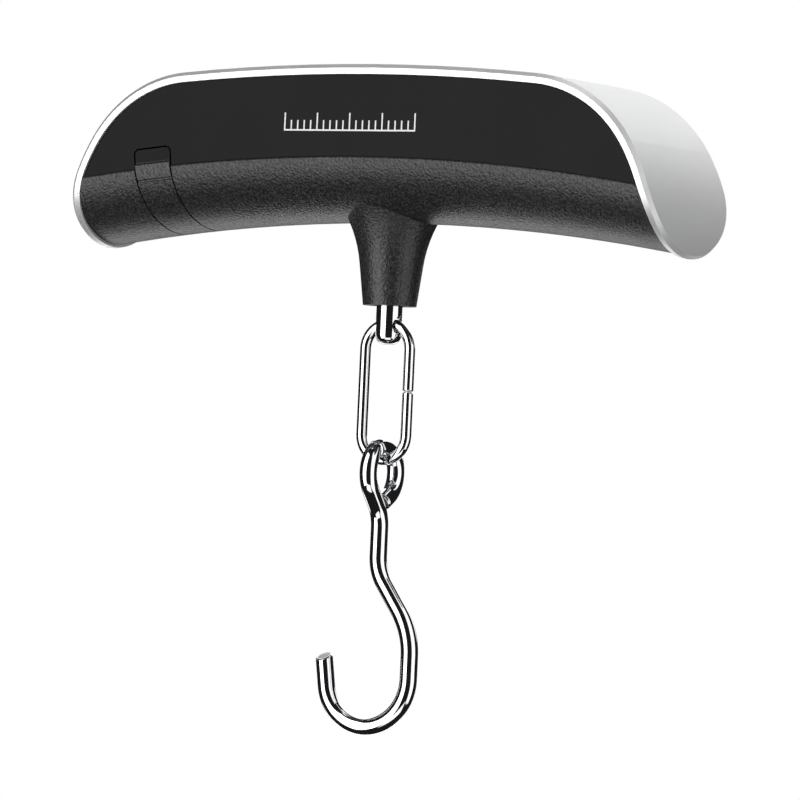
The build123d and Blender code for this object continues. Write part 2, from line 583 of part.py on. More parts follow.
plunger_front = BOARD_FRONT - SWITCH_HEIGHT - PLUNGER_PROUD
flange_front = FRONT_INSIDE + SHELL_GAP
for name, place in zip(("power", "unit"), button_places):
    with BuildPart() as button:
        with BuildSketch(Plane.XZ.offset(-flange_front)):
            with Locations(place):
                Circle(BUTTON_RADIUS)
        extrude(amount=flange_front - FRONT_FACE + BUTTON_PROUD)
        fillet(button.edges().group_by(Axis.Y)[0], BUTTON_EDGE)
        with BuildSketch(Plane.XZ.offset(-flange_front)):
            with Locations(place):
                Circle(BUTTON_FLANGE_RADIUS)
        extrude(amount=-BUTTON_FLANGE)
        with BuildSketch(Plane.XZ.offset(-flange_front)):
            with Locations(place):
                Circle(BUTTON_STEM_RADIUS)
        extrude(amount=flange_front - plunger_front)
    save(button, f"{name}_button")

    with BuildPart() as plunger:
        with BuildSketch(Plane.XZ.offset(-plunger_front)):
            with Locations(place):
                Circle(PLUNGER_RADIUS)
        extrude(amount=-PLUNGER_PROUD - PLUNGER_SUNK)
    save(plunger, f"{name}_switch_plunger")

    with BuildPart() as switch:
        with BuildSketch(Plane.XZ.offset(-BOARD_FRONT)):
            with Locations(place):
                RectangleRounded(SWITCH_SIDE, SWITCH_SIDE, BUTTON_EDGE)
        extrude(amount=SWITCH_HEIGHT)
        with BuildSketch(Plane.XZ.offset(SWITCH_HEIGHT - BOARD_FRONT)):
            with Locations(place):
                Circle(PLUNGER_RADIUS + PLUNGER_GAP)
        extrude(amount=-PLUNGER_SUNK - 2 * BUTTON_TRAVEL, mode=Mode.SUBTRACT)
    save(switch, f"{name}_switch")

# ================================================================ weighing unit
cell_screw_places = [(CELL_SCREW_X - CELL_SCREW_PITCH / 2, 0), (CELL_SCREW_X + CELL_SCREW_PITCH / 2, 0)]
with BuildPart() as load_frame:
    with BuildSketch(Plane.XY.offset(FRAME_BOTTOM)):
        with Locations(((FRAME_RIGHT - FRAME_LEFT) / 2, 0)):
            RectangleRounded(FRAME_LEFT + FRAME_RIGHT, FRAME_WIDTH, FRAME_CORNER)
        Circle(STUD_RADIUS + FRAME_HOLE_GAP, mode=Mode.SUBTRACT)
        with Locations(*cell_screw_places):
            Circle(CELL_SCREW_RADIUS, mode=Mode.SUBTRACT)
        with Locations(*frame_screw_places):
            Circle(FRAME_SCREW_RADIUS, mode=Mode.SUBTRACT)
    extrude(amount=FRAME_THICKNESS)
save(load_frame, "load_frame")

with BuildPart() as frame_screws:
    with BuildSketch(Plane.XY.offset(FRAME_BOTTOM - FRAME_SCREW_LENGTH)):
        with Locations(*frame_screw_places):
            Circle(FRAME_SCREW_RADIUS)
    extrude(amount=FRAME_SCREW_LENGTH + FRAME_THICKNESS)
    with BuildSketch(Plane.XY.offset(FRAME_TOP)):
        with Locations(*frame_screw_places):
            Circle(FRAME_SCREW_HEAD_RADIUS)
    extrude(amount=FRAME_SCREW_HEAD)
save(frame_screws, "frame_screws")

with BuildPart() as cell_spacer:
    with BuildSketch(Plane.XY.offset(FRAME_TOP)):
        with Locations((CELL_SCREW_X, 0)):
            Rectangle(SPACER_LENGTH, CELL_WIDTH)
        with Locations(*cell_screw_places):
            Circle(CELL_SCREW_RADIUS, mode=Mode.SUBTRACT)
    extrude(amount=SPACER_THICKNESS)
save(cell_spacer, "cell_spacer")

with BuildPart() as load_cell:
    with BuildSketch(Plane.XY.offset(CELL_BOTTOM)):
        with Locations(((CELL_RIGHT - CELL_LEFT) / 2, 0)):
            Rectangle(CELL_LEFT + CELL_RIGHT, CELL_WIDTH)
    extrude(amount=CELL_HEIGHT)
    chamfer(load_cell.edges().filter_by(Axis.X), CELL_EDGE)
    # two round holes joined by a slot leave thin flexing walls above and below
    with BuildSketch(Plane.XZ):
        with Locations((FLEX_X, CELL_MIDDLE)):
            with Locations((-FLEX_PITCH / 2, 0), (FLEX_PITCH / 2, 0)):
                Circle(FLEX_RADIUS)
            Rectangle(FLEX_PITCH, FLEX_SLOT)
    extrude(amount=CELL_WIDTH, both=True, mode=Mode.SUBTRACT)
    with BuildSketch(Plane.XY.offset(CELL_BOTTOM)):
        Circle(STUD_RADIUS + STUD_BORE_GAP)
    extrude(amount=CELL_HEIGHT, mode=Mode.SUBTRACT)
    with BuildSketch(Plane.XY.offset(CELL_BOTTOM)):
        with Locations(*cell_screw_places):
            Circle(CELL_SCREW_RADIUS)
    extrude(amount=CELL_SCREW_GRIP, mode=Mode.SUBTRACT)
save(load_cell, "load_cell")

with BuildPart() as cell_screws:
    with BuildSketch(Plane.XY.offset(FRAME_BOTTOM)):
        with Locations(*cell_screw_places):
            Circle(CELL_SCREW_RADIUS)
    extrude(amount=FRAME_THICKNESS + SPACER_THICKNESS + CELL_SCREW_GRIP)
    with BuildSketch(Plane.XY.offset(FRAME_BOTTOM)):
        with Locations(*cell_screw_places):
            Circle(CELL_SCREW_HEAD_RADIUS)
    extrude(amount=-CELL_SCREW_HEAD)
save(cell_screws, "cell_screws")

gauge_places = [(FLEX_X - FLEX_PITCH / 2, 0), (FLEX_X + FLEX_PITCH / 2, 0)]
with BuildPart() as strain_gauges:
    for height, direction in ((CELL_TOP, 1), (CELL_BOTTOM, -1)):
        with BuildSketch(Plane.XY.offset(height)):
            with Locations(*gauge_places):
                Rectangle(GAUGE_LENGTH, GAUGE_WIDTH)
        extrude(amount=direction * GAUGE_THICKNESS)
save(strain_gauges, "strain_gauges")

with BuildPart() as stud_washer:
    with BuildSketch(Plane.XY.offset(CELL_TOP)):
        Circle(STUD_RADIUS + WASHER_GAP + WASHER_WIDTH)
        Circle(STUD_RADIUS + WASHER_GAP, mode=Mode.SUBTRACT)
    extrude(amount=WASHER_THICKNESS)
save(stud_washer, "stud_washer")

with BuildPart() as stud_nut:
    with BuildSketch(Plane.XY.offset(WASHER_TOP)):
        RegularPolygon(STUD_RADIUS + NUT_WALL, 6, major_radius=False)
        Circle(STUD_RADIUS, mode=Mode.SUBTRACT)
    extrude(amount=NUT_HEIGHT)
save(stud_nut, "stud_nut")

with BuildPart() as pull_stud:
    with BuildSketch(Plane.XY.offset(STUD_TIP)):
        Circle(STUD_RADIUS)
    extrude(amount=STUD_TOP - STUD_TIP)
    fillet(pull_stud.edges().group_by(Axis.Z)[0], STUD_TIP_FILLET)
    chamfer(pull_stud.edges().group_by(Axis.Z)[-1], CELL_EDGE)
    with BuildSketch(Plane.YZ):
        with Locations((0, LINK_EYE_Z)):
            Circle(LINK_EYE_RADIUS)
    extrude(amount=2 * STUD_RADIUS, both=True, mode=Mode.SUBTRACT)
    # relieved mouths, so that the curved link wire can swing in the straight hole
    for side in (-1, 1):
        with BuildSketch(Plane.YZ.offset(side * STUD_RADIUS)):
            with Locations((0, LINK_EYE_Z)):
                Circle(LINK_EYE_RADIUS + LINK_EYE_CHAMFER)
        extrude(amount=-side * 2 * LINK_EYE_CHAMFER, taper=LINK_EYE_TAPER, mode=Mode.SUBTRACT)
save(pull_stud, "pull_stud")

# ================================================================ link and hook
# open oval of wire in the XZ plane; its butt seam is in the -X leg
with BuildPart() as link:
    with BuildLine(Plane.XZ) as link_path:
        seam_low = (-LINK_BEND_RADIUS, LINK_SEAM_Z - LINK_SEAM_GAP / 2)
        seam_high = (-LINK_BEND_RADIUS, LINK_SEAM_Z + LINK_SEAM_GAP / 2)
        lower_leg = Line(seam_low, (-LINK_BEND_RADIUS, LINK_LOWER_BEND_Z))
        lower_bend = JernArc(lower_leg @ 1, lower_leg % 1, LINK_BEND_RADIUS, 180)
        far_leg = Line(lower_bend @ 1, (LINK_BEND_RADIUS, LINK_UPPER_BEND_Z))
        upper_bend = JernArc(far_leg @ 1, far_leg % 1, LINK_BEND_RADIUS, 180)
        Line(upper_bend @ 1, seam_high)
    with BuildSketch(Plane(origin=link_path.line @ 0, z_dir=link_path.line % 0)):
        Circle(LINK_WIRE_RADIUS)
    sweep(path=link_path.line)
save(link, "link")

# the hook is one wire: an eye in the YZ plane, a shank, and an open bowl in the XZ plane
spread = radians(EYE_SPREAD)
with BuildLine(Plane.YZ) as eye_path:
    loop = CenterArc((0, EYE_CENTRE_Z), EYE_RADIUS, -EYE_SPREAD, 180 + EYE_SPREAD + EYE_CLOSE)
    Line(loop @ 1, (loop @ 1) + (loop % 1) * EYE_END)
    leg_rise = EYE_LEG_RADIUS * (1 - cos(spread))
    leg_run = (EYE_RADIUS * cos(spread) - leg_rise) / sin(spread)
    leg = Line(loop @ 0, (loop @ 0) - (loop % 0) * leg_run)
    JernArc(leg @ 1, leg % 1, EYE_LEG_RADIUS, EYE_SPREAD)
shank_top = EYE_CENTRE_Z - EYE_RADIUS * sin(spread) - leg_run * cos(spread) - EYE_LEG_RADIUS * sin(spread)
with BuildLine(Plane.XZ) as bowl_path:
    shank = Line((0, shank_top), (0, shank_top - SHANK_LENGTH))
    swell = JernArc(shank @ 1, shank % 1, BULGE_RADIUS, -BULGE_TURN)
    slope = Line(swell @ 1, (swell @ 1) + (swell % 1) * BULGE_RUN)
    back = JernArc(slope @ 1, slope % 1, BACK_RADIUS, BULGE_TURN)
    run = Line(back @ 1, (back @ 1) + (back % 1) * BACK_RUN)
    outer_bowl = JernArc(run @ 1, run % 1, BOWL_OUTER_RADIUS, 90)
    inner_bowl = JernArc(outer_bowl @ 1, outer_bowl % 1, BOWL_INNER_RADIUS, BOWL_INNER_TURN)
    tip = Line(inner_bowl @ 1, (inner_bowl @ 1) + (inner_bowl % 1) * TIP_RUN)
with BuildPart() as hook:
    with BuildSketch(Plane(origin=tip @ 1, z_dir=-(tip % 1))):
        Circle(HOOK_WIRE_RADIUS)
    sweep(path=Wire(bowl_path.edges() + eye_path.edges()))
    # the tip is sawn at a slant
    upward = tip % 1
    saw_start = tip @ 1 - upward * HOOK_WIRE_RADIUS * tan(radians(TIP_CUT))
    saw_normal = upward * cos(radians(TIP_CUT)) + Vector(0, 1, 0) * sin(radians(TIP_CUT))
    with BuildSketch(Plane(origin=saw_start, z_dir=saw_normal)):
        Circle(2 * HOOK_WIRE_RADIUS)
    extrude(amount=2 * HOOK_WIRE_RADIUS, mode=Mode.SUBTRACT)
    wire_ends = hook.faces().filter_by(GeomType.PLANE)
    fillet(wire_ends.edges(), TIP_EDGE)
save(hook, "hook")

# ================================================================ battery bay
with BuildPart() as coin_cell:
    with BuildSketch(bay.offset(-COIN_HALF)):
        with Locations((COIN_Y, HUB + COIN_Z)):
            Circle(COIN_RADIUS)
    extrude(amount=COIN_THICKNESS - COIN_STEP)
    with BuildSketch(bay.offset(COIN_HALF - COIN_STEP)):
        with Locations((COIN_Y, HUB + COIN_Z)):
            Circle(COIN_RADIUS - COIN_CAP_EDGE)
    extrude(amount=COIN_STEP)
save(coin_cell, "coin_cell")

# C-shaped cradle, open towards the door, standing on the back panel
cradle_foot = HINGE_Y - HINGE_RADIUS - DOOR_GAP
with BuildPart() as battery_cradle:
    with BuildSketch(bay):
        with Locations((COIN_Y, HUB + COIN_Z)):
            Circle(CRADLE_RADIUS)
        with Locations(((COIN_Y + PANEL_INSIDE) / 2, HUB + COIN_Z + CRADLE_RADIUS - CRADLE_TAB / 2)):
            Rectangle(PANEL_INSIDE - COIN_Y, CRADLE_TAB)
    extrude(amount=CRADLE_HALF, both=True)
    with BuildSketch(bay):
        with Locations((COIN_Y, HUB + COIN_Z)):
            Circle(POCKET_RADIUS)
    extrude(amount=POCKET_HALF, both=True, mode=Mode.SUBTRACT)
    # cut away the side towards the door
    with BuildSketch(bay):
        with BuildLine():
            Polyline(
                (cradle_foot, HUB + COIN_Z - 2 * CRADLE_RADIUS),
                (cradle_foot, HUB + COIN_Z - CRADLE_RADIUS / 2),
                (COIN_Y + CRADLE_RADIUS / 2, HUB + COIN_Z + CRADLE_RADIUS / 2),
                (COIN_Y + 2 * CRADLE_RADIUS, HUB + COIN_Z + CRADLE_RADIUS / 2),
                (COIN_Y + 2 * CRADLE_RADIUS, HUB + COIN_Z - 2 * CRADLE_RADIUS),
                close=True,
            )
        make_face()
    extrude(amount=2 * CRADLE_HALF, both=True, mode=Mode.SUBTRACT)
    # slots above the cell for the contact tabs
    with BuildSketch(bay):
        with Locations((CONTACT_Y, HUB + COIN_Z + COIN_RADIUS)):
            Rectangle(CONTACT_WIDTH, COIN_RADIUS)
    extrude(amount=POCKET_HALF, both=True, mode=Mode.SUBTRACT)
save(battery_cradle, "battery_cradle")

for name, side in (("positive", -1), ("negative", 1)):
    with BuildPart() as contact:
        with BuildSketch(bay.offset(side * COIN_HALF)):
            with Locations((CONTACT_Y, HUB + (CONTACT_TOP + COIN_Z) / 2)):
                Rectangle(CONTACT_WIDTH - 2 * COIN_GAP, CONTACT_TOP - COIN_Z)
        extrude(amount=side * CONTACT_THICKNESS)
    save(contact, f"{name}_contact")

# ================================================================ leads
board_right = BOARD_LENGTH / 2 - 2 * BOARD_CORNER
lead_turn = arch_point(CONTACT_Y, CONTACT_TOP)[2] + LEAD_RISE
lead_height = LENS_CENTRE_Z + LEAD_BEND
with BuildPart() as battery_leads:
    for side, lift in ((-1, 0.0), (1, LEAD_PITCH)):
        tab_top = Vector(arch_point(CONTACT_Y, CONTACT_TOP, side * (COIN_HALF + CONTACT_THICKNESS / 2)))
        corner = Vector(tab_top.X, CONTACT_Y, lead_turn + lift)
        with BuildLine() as lead_path:
            FilletPolyline(
                tab_top,
                corner,
                (board_right, (CONTACT_Y + BOARD_BACK) / 2, lead_height + lift),
                (board_right, BOARD_BACK, lead_height + lift),
                radius=LEAD_BEND,
            )
        with BuildSketch(Plane(origin=lead_path.line @ 0, z_dir=lead_path.line % 0)):
            Circle(LEAD_RADIUS)
        sweep(path=lead_path.line)
save(battery_leads, "battery_leads")

with BuildPart() as cell_lead:
    lead_x = FLEX_X - FLEX_PITCH
    lead_y = (BOARD_BACK - CELL_WIDTH / 2) / 2
    with BuildLine() as cell_lead_path:
        FilletPolyline(
            (lead_x, -CELL_WIDTH / 2, CELL_MIDDLE),
            (lead_x, lead_y, CELL_MIDDLE),
            (lead_x, lead_y, LENS_CENTRE_Z),
            (lead_x, BOARD_BACK, LENS_CENTRE_Z),
            radius=LEAD_BEND,
        )
    with BuildSketch(Plane(origin=cell_lead_path.line @ 0, z_dir=cell_lead_path.line % 0)):
        Circle(LEAD_RADIUS)
    sweep(path=cell_lead_path.line)
save(cell_lead, "cell_lead")
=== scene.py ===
"""Looks of a hanging digital luggage scale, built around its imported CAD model.

All lengths are metres. X runs along the handle, the display faces -Y, the smooth back
panel faces +Y and Z is up. The origin is the middle of the grip.
"""

import logging
from dataclasses import dataclass, field
from enum import Enum
from math import cos, pi, radians, sin, tan

import bpy
import numpy as np
from mathutils import Matrix, Vector

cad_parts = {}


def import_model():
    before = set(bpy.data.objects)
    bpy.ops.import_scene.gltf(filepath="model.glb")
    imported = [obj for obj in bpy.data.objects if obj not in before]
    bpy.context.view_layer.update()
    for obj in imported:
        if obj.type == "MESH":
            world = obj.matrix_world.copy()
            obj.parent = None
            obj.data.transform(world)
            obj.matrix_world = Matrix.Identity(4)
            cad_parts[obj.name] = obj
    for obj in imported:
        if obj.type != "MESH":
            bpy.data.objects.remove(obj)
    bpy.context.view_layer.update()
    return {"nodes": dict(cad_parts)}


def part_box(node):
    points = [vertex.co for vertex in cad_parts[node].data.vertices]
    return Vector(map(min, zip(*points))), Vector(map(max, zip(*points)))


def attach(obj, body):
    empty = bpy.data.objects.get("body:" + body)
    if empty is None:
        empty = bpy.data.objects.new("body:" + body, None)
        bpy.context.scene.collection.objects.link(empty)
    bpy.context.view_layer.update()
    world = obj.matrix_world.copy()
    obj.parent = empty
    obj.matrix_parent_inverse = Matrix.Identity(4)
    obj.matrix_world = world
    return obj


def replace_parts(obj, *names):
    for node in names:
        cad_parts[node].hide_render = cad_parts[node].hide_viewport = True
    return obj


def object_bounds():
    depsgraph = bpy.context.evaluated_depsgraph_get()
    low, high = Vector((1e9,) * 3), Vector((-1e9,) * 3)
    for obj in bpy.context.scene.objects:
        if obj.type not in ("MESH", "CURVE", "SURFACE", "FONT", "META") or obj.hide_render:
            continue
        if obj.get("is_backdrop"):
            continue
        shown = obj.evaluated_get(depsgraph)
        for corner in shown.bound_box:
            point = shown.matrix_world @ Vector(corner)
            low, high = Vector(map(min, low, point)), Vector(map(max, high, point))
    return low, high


LOG = logging.getLogger("luggage_scale")
MM = 0.001
Colour = tuple[float, float, float]
NOISE_LOW = 0.3  # most of a noise's values lie between these two
NOISE_HIGH = 0.7
FIRST_COLOUR = 6  # the Mix node's sockets for its two colours and its result
SECOND_COLOUR = 7
MIXED_COLOUR = 2
MIN_RUN_STEPS = 2
MIN_TURN_STEPS = 4
END_RINGS = 6  # rings that round off one end of a wire


def rgba(colour: Colour) -> tuple[float, float, float, float]:
    """Gives a colour with full opacity."""
    return (*colour, 1.0)


def dimmed(colour: Colour, share: float) -> Colour:
    """Gives a colour darkened to a share of itself."""
    return tuple(share * c for c in colour)


def outward(azimuth: float, elevation: float) -> Vector:
    """Gives the direction (sin a cos e, -cos a cos e, sin e) from the object, for angles in degrees."""
    a, e = radians(azimuth), radians(elevation)
    return Vector((sin(a) * cos(e), -cos(a) * cos(e), sin(e)))


# ------------------------------------------------------------------ node wiring
class Wiring:
    """One material's node tree, with short calls for the nodes that the finishes share."""

    def __init__(self, name: str, **constants: float | Colour) -> None:
        """Starts a material with one Principled shader.

        Args:
            name: the material's name.
            constants: values for the shader's own sockets, with underscores for spaces.
        """
        self.material = bpy.data.materials.new(name)
        self.material.use_nodes = True
        self.tree = self.material.node_tree
        self.tree.nodes.clear()
        self.shader = self.tree.nodes.new("ShaderNodeBsdfPrincipled")
        output = self.tree.nodes.new("ShaderNodeOutputMaterial")
        self.join(self.shader.outputs["BSDF"], output.inputs["Surface"])
        for socket, value in constants.items():
            found = self.shader.inputs[socket.replace("_", " ")]
            found.default_value = rgba(value) if isinstance(value, tuple) else value
        self._place: bpy.types.NodeSocket | None = None

    def join(self, start: bpy.types.NodeSocket, end: bpy.types.NodeSocket) -> None:
        """Links two sockets."""
        self.tree.links.new(start, end)

    def feed(self, socket: str, value: bpy.types.NodeSocket) -> None:
        """Links a value to one of the shader's sockets."""
        self.join(value, self.shader.inputs[socket])

    def place(self) -> bpy.types.NodeSocket:
        """Gives the object coordinates, in metres."""
        if self._place is None:
            self._place = self.tree.nodes.new("ShaderNodeTexCoord").outputs["Object"]
        return self._place

    def axis(self, name: str) -> bpy.types.NodeSocket:
        """Gives one object coordinate, X, Y or Z."""
        split = self.tree.nodes.new("ShaderNodeSeparateXYZ")
        self.join(self.place(), split.inputs[0])
        return split.outputs[name]

    def sums(self, kind: str, *values: float | bpy.types.NodeSocket) -> bpy.types.NodeSocket:
        """Works out one sum on up to three values.

        Args:
            kind: the Math node's operation, such as MULTIPLY.
            values: numbers or sockets.

        Returns:
            The result's socket.
        """
        node = self.tree.nodes.new("ShaderNodeMath")
        node.operation = kind
        for socket, value in zip(node.inputs, values):
            if isinstance(value, bpy.types.NodeSocket):
                self.join(value, socket)
            else:
                socket.default_value = value
        return node.outputs[0]

    def remap(
        self, value: bpy.types.NodeSocket, low: float, high: float, to_low: float = 0.0, to_high: float = 1.0
    ) -> bpy.types.NodeSocket:
        """Carries a value from low..high to another range, held at its ends.

        Args:
            value: the socket to carry over.
            low: the value that becomes to_low.
            high: the value that becomes to_high.
            to_low: result at low.
            to_high: result at high.

        Returns:
            The result's socket.
        """
        node = self.tree.nodes.new("ShaderNodeMapRange")
        node.interpolation_type = "SMOOTHSTEP"
        self.join(value, node.inputs["Value"])
        for name, number in zip(("From Min", "From Max", "To Min", "To Max"), (low, high, to_low, to_high)):
            node.inputs[name].default_value = number
        return node.outputs["Result"]

    def spread(
        self, noise: bpy.types.NodeSocket, to_low: float = 0.0, to_high: float = 1.0
    ) -> bpy.types.NodeSocket:
        """Carries the middle of a noise's range to another range and gives the result's socket."""
        return self.remap(noise, NOISE_LOW, NOISE_HIGH, to_low, to_high)

    def noise(self, size: float, detail: float = 2.0, stretch: Colour = (1, 1, 1)) -> bpy.types.NodeSocket:
        """Gives smooth noise.

        Args:
            size: size of one blob in metres.
            detail: octaves of finer noise.
            stretch: how much finer the noise is along X, Y and Z.

        Returns:
            The noise's socket, about 0 to 1.
        """
        mapping = self.tree.nodes.new("ShaderNodeMapping")
        mapping.inputs["Scale"].default_value = stretch
        self.join(self.place(), mapping.inputs["Vector"])
        node = self.tree.nodes.new("ShaderNodeTexNoise")
        node.inputs["Scale"].default_value = 1 / size
        node.inputs["Detail"].default_value = detail
        self.join(mapping.outputs[0], node.inputs["Vector"])
        return node.outputs["Fac"]

    def cells(self, size: float) -> bpy.types.NodeSocket:
        """Gives the distance to the middle of the nearest random cell, for cells of that size in metres."""
        node = self.tree.nodes.new("ShaderNodeTexVoronoi")
        node.feature = "SMOOTH_F1"
        node.inputs["Scale"].default_value = 1 / size
        node.inputs["Smoothness"].default_value = 0.6
        self.join(self.place(), node.inputs["Vector"])
        return node.outputs["Distance"]

    def mixer(self, share: bpy.types.NodeSocket) -> bpy.types.ShaderNode:
        """Starts a mix of two colours by a share of 0 to 1."""
        node = self.tree.nodes.new("ShaderNodeMix")
        node.data_type = "RGBA"
        self.join(share, node.inputs["Factor"])
        return node

    def blend(self, share: bpy.types.NodeSocket, first: Colour, second: Colour) -> bpy.types.NodeSocket:
        """Mixes two colours by a share of 0 to 1 and gives the result's socket."""
        node = self.mixer(share)
        node.inputs[FIRST_COLOUR].default_value = rgba(first)
        node.inputs[SECOND_COLOUR].default_value = rgba(second)
        return node.outputs[MIXED_COLOUR]

    def mixed(
        self, share: bpy.types.NodeSocket, first: bpy.types.NodeSocket, second: bpy.types.NodeSocket
    ) -> bpy.types.NodeSocket:
        """Mixes two colour sockets by a share of 0 to 1 and gives the result's socket."""
        node = self.mixer(share)
        self.join(first, node.inputs[FIRST_COLOUR])
        self.join(second, node.inputs[SECOND_COLOUR])
        return node.outputs[MIXED_COLOUR]

    def relief(self, height: bpy.types.NodeSocket, depth: float, strength: float = 1.0) -> None:
        """Raises the surface's shading by a height of 0 to 1 times a depth in metres."""
        node = self.tree.nodes.new("ShaderNodeBump")
        node.inputs["Distance"].default_value = depth
        node.inputs["Strength"].default_value = strength
        self.join(height, node.inputs["Height"])
        self.feed("Normal", node.outputs["Normal"])


# ------------------------------------------------------------------ finishes
@dataclass(frozen=True)
class Finish:
    """A finish that can be made into one material, once."""

    slot: str

    def made(self) -> bpy.types.Material:
        """Gives this finish's material, and makes it the first time."""
        name = f"finish_{self.slot}{self.suffix()}"
        return bpy.data.materials.get(name) or self.wire(name).material

    def suffix(self) -> str:
        """Gives what tells this finish from others of the same slot."""
        return ""

    def wire(self, name: str) -> Wiring:
        """Wires the material; each finish says how."""
        raise NotImplementedError


@dataclass(frozen=True)
class SprayedSilver(Finish):
    """Fine metallic paint on moulded plastic, with a thin clear coat over it."""

    paint: Colour = (0.88, 0.885, 0.89)
    dimmest: float = 0.94
    flake_size: float = 0.10 * MM
    flake_share: float = 0.85
    cloud_size: float = 9 * MM
    cloud_share: float = 0.15
    peel_size: float = 1.1 * MM
    peel_depth: float = 0.003 * MM

    def wire(self, name: str) -> Wiring:
        """Paints flakes as small changes of brightness, with a faint orange peel in the paint."""
        made = Wiring(name, Metallic=0.70, IOR=1.5, Coat_Weight=0.05, Coat_Roughness=0.30)
        flakes = made.noise(self.flake_size, 1.0)
        clouds = made.noise(self.cloud_size, 1.0)
        cloudy = made.sums("MULTIPLY", clouds, self.cloud_share)
        shade = made.sums("MULTIPLY_ADD", flakes, self.flake_share, cloudy)
        made.feed("Base Color", made.blend(made.spread(shade), dimmed(self.paint, self.dimmest), self.paint))
        made.feed("Roughness", made.remap(clouds, low=0.35, high=0.65, to_low=0.43, to_high=0.45))
        made.relief(made.noise(self.peel_size, 1.0), self.peel_depth, strength=0.5)
        return made


@dataclass(frozen=True)
class MouldedBlack(Finish):
    """Black moulding: a smooth matte panel above the crease, spark-eroded grain on the tube and neck."""

    crease_height: float = -3.9 * MM
    hub: float = 487.6 * MM
    grain_size: float = 0.62 * MM
    grain_depth: float = 0.10 * MM
    speck_size: float = 0.55 * MM
    haze_size: float = 14 * MM
    velvet_size: float = 0.12 * MM
    velvet_share: float = 0.10
    crease_start: float = 0.1 * MM
    crease_end: float = 0.5 * MM
    panel_specular: float = 0.14
    grain_specular: float = 0.62
    panel: Colour = (0.0035, 0.0035, 0.0037)
    panel_haze: Colour = (0.0085, 0.0085, 0.0088)
    pit: Colour = (0.010, 0.010, 0.0103)
    peak: Colour = (0.034, 0.034, 0.035)

    def suffix(self) -> str:
        """Tells the door's finish from the shell's by its crease, in tenths of a millimetre."""
        return f"_{round(-self.crease_height / MM * 10)}"

    def wire(self, name: str) -> Wiring:
        """Blends from the panel to the grain by height above the arch: sqrt(x^2 + (z + hub)^2) - hub."""
        made = Wiring(name, IOR=1.46)
        rise = made.sums("ADD", made.axis("Z"), self.hub)
        radial = made.sums("SQRT", made.sums("ADD", made.sums("POWER", made.axis("X"), 2.0),
                                             made.sums("POWER", rise, 2.0)))
        height = made.sums("SUBTRACT", radial, self.hub)
        smooth = made.remap(height, self.crease_height + self.crease_start,
                            self.crease_height + self.crease_end)
        grained = made.sums("SUBTRACT", 1.0, smooth)
        cells = made.cells(self.grain_size)
        fine = made.noise(0.35 * self.grain_size, 2.0)
        pits = made.sums("MULTIPLY_ADD", fine, 0.5, cells)
        haze = made.noise(self.haze_size, 2.0)
        speck = made.remap(made.noise(self.speck_size, 1.0), low=0.40, high=0.70)
        tube = made.blend(speck, self.pit, self.peak)
        shade = made.mixed(smooth, tube, made.blend(haze, self.panel, self.panel_haze))
        made.feed("Base Color", shade)
        shine = made.sums("MULTIPLY_ADD", grained, self.grain_specular, self.panel_specular)
        made.feed("Specular IOR Level", shine)
        rough_grain = made.remap(pits, low=0.2, high=1.1, to_low=0.28, to_high=0.42)
        rough_panel = made.spread(haze, to_low=0.40, to_high=0.46)
        rough = made.sums("ADD", made.sums("MULTIPLY", rough_grain, grained),
                          made.sums("MULTIPLY", rough_panel, smooth))
        made.feed("Roughness", rough)
        coarse = made.sums("MULTIPLY", pits, grained)
        velvet = made.sums("MULTIPLY", made.noise(self.velvet_size, 2.0),
                           made.sums("MULTIPLY", smooth, self.velvet_share))
        made.relief(made.sums("ADD", coarse, velvet), self.grain_depth)
        return made


@dataclass(frozen=True)
class ChromedWire(Finish):
    """Bright plated steel wire with slight ripples and a little haze."""

    metal: Colour = (0.80, 0.81, 0.83)
    roughness: float = 0.05
    haze: float = 0.06
    patch_size: float = 1.6 * MM
    ripple_size: float = 2.4 * MM
    ripple_depth: float = 0.02 * MM

    def wire(self, name: str) -> Wiring:
        """Varies the polish in soft patches and lays very shallow ripples under it."""
        made = Wiring(name, Base_Color=self.metal, Metallic=1.0)
        patches = made.noise(self.patch_size, 2.0)
        made.feed("Roughness", made.remap(patches, low=0.35, high=0.75, to_low=self.roughness,
                                          to_high=self.roughness + self.haze))
        made.relief(made.noise(self.ripple_size, 1.0), self.ripple_depth, strength=0.35)
        return made


@dataclass(frozen=True)
class CutWireEnd(Finish):
    """Sawn and plated end of a wire, with parallel saw marks."""

    dark: Colour = (0.30, 0.30, 0.31)
    light: Colour = (0.55, 0.55, 0.56)
    mark_size: float = 0.5 * MM
    mark_depth: float = 0.02 * MM
    stretch: Colour = (1.0, 9.0, 1.0)

    def suffix(self) -> str:
        """Tells the cut ends from the wire's round surface."""
        return "_cut"

    def wire(self, name: str) -> Wiring:
        """Rules fine lines across the cut as stretched noise."""
        made = Wiring(name, Metallic=1.0)
        marks = made.noise(self.mark_size, 2.0, self.stretch)
        made.feed("Base Color", made.blend(marks, self.dark, self.light))
        made.feed("Roughness", made.spread(marks, to_low=0.30, to_high=0.48))
        made.relief(marks, self.mark_depth, strength=0.7)
        return made


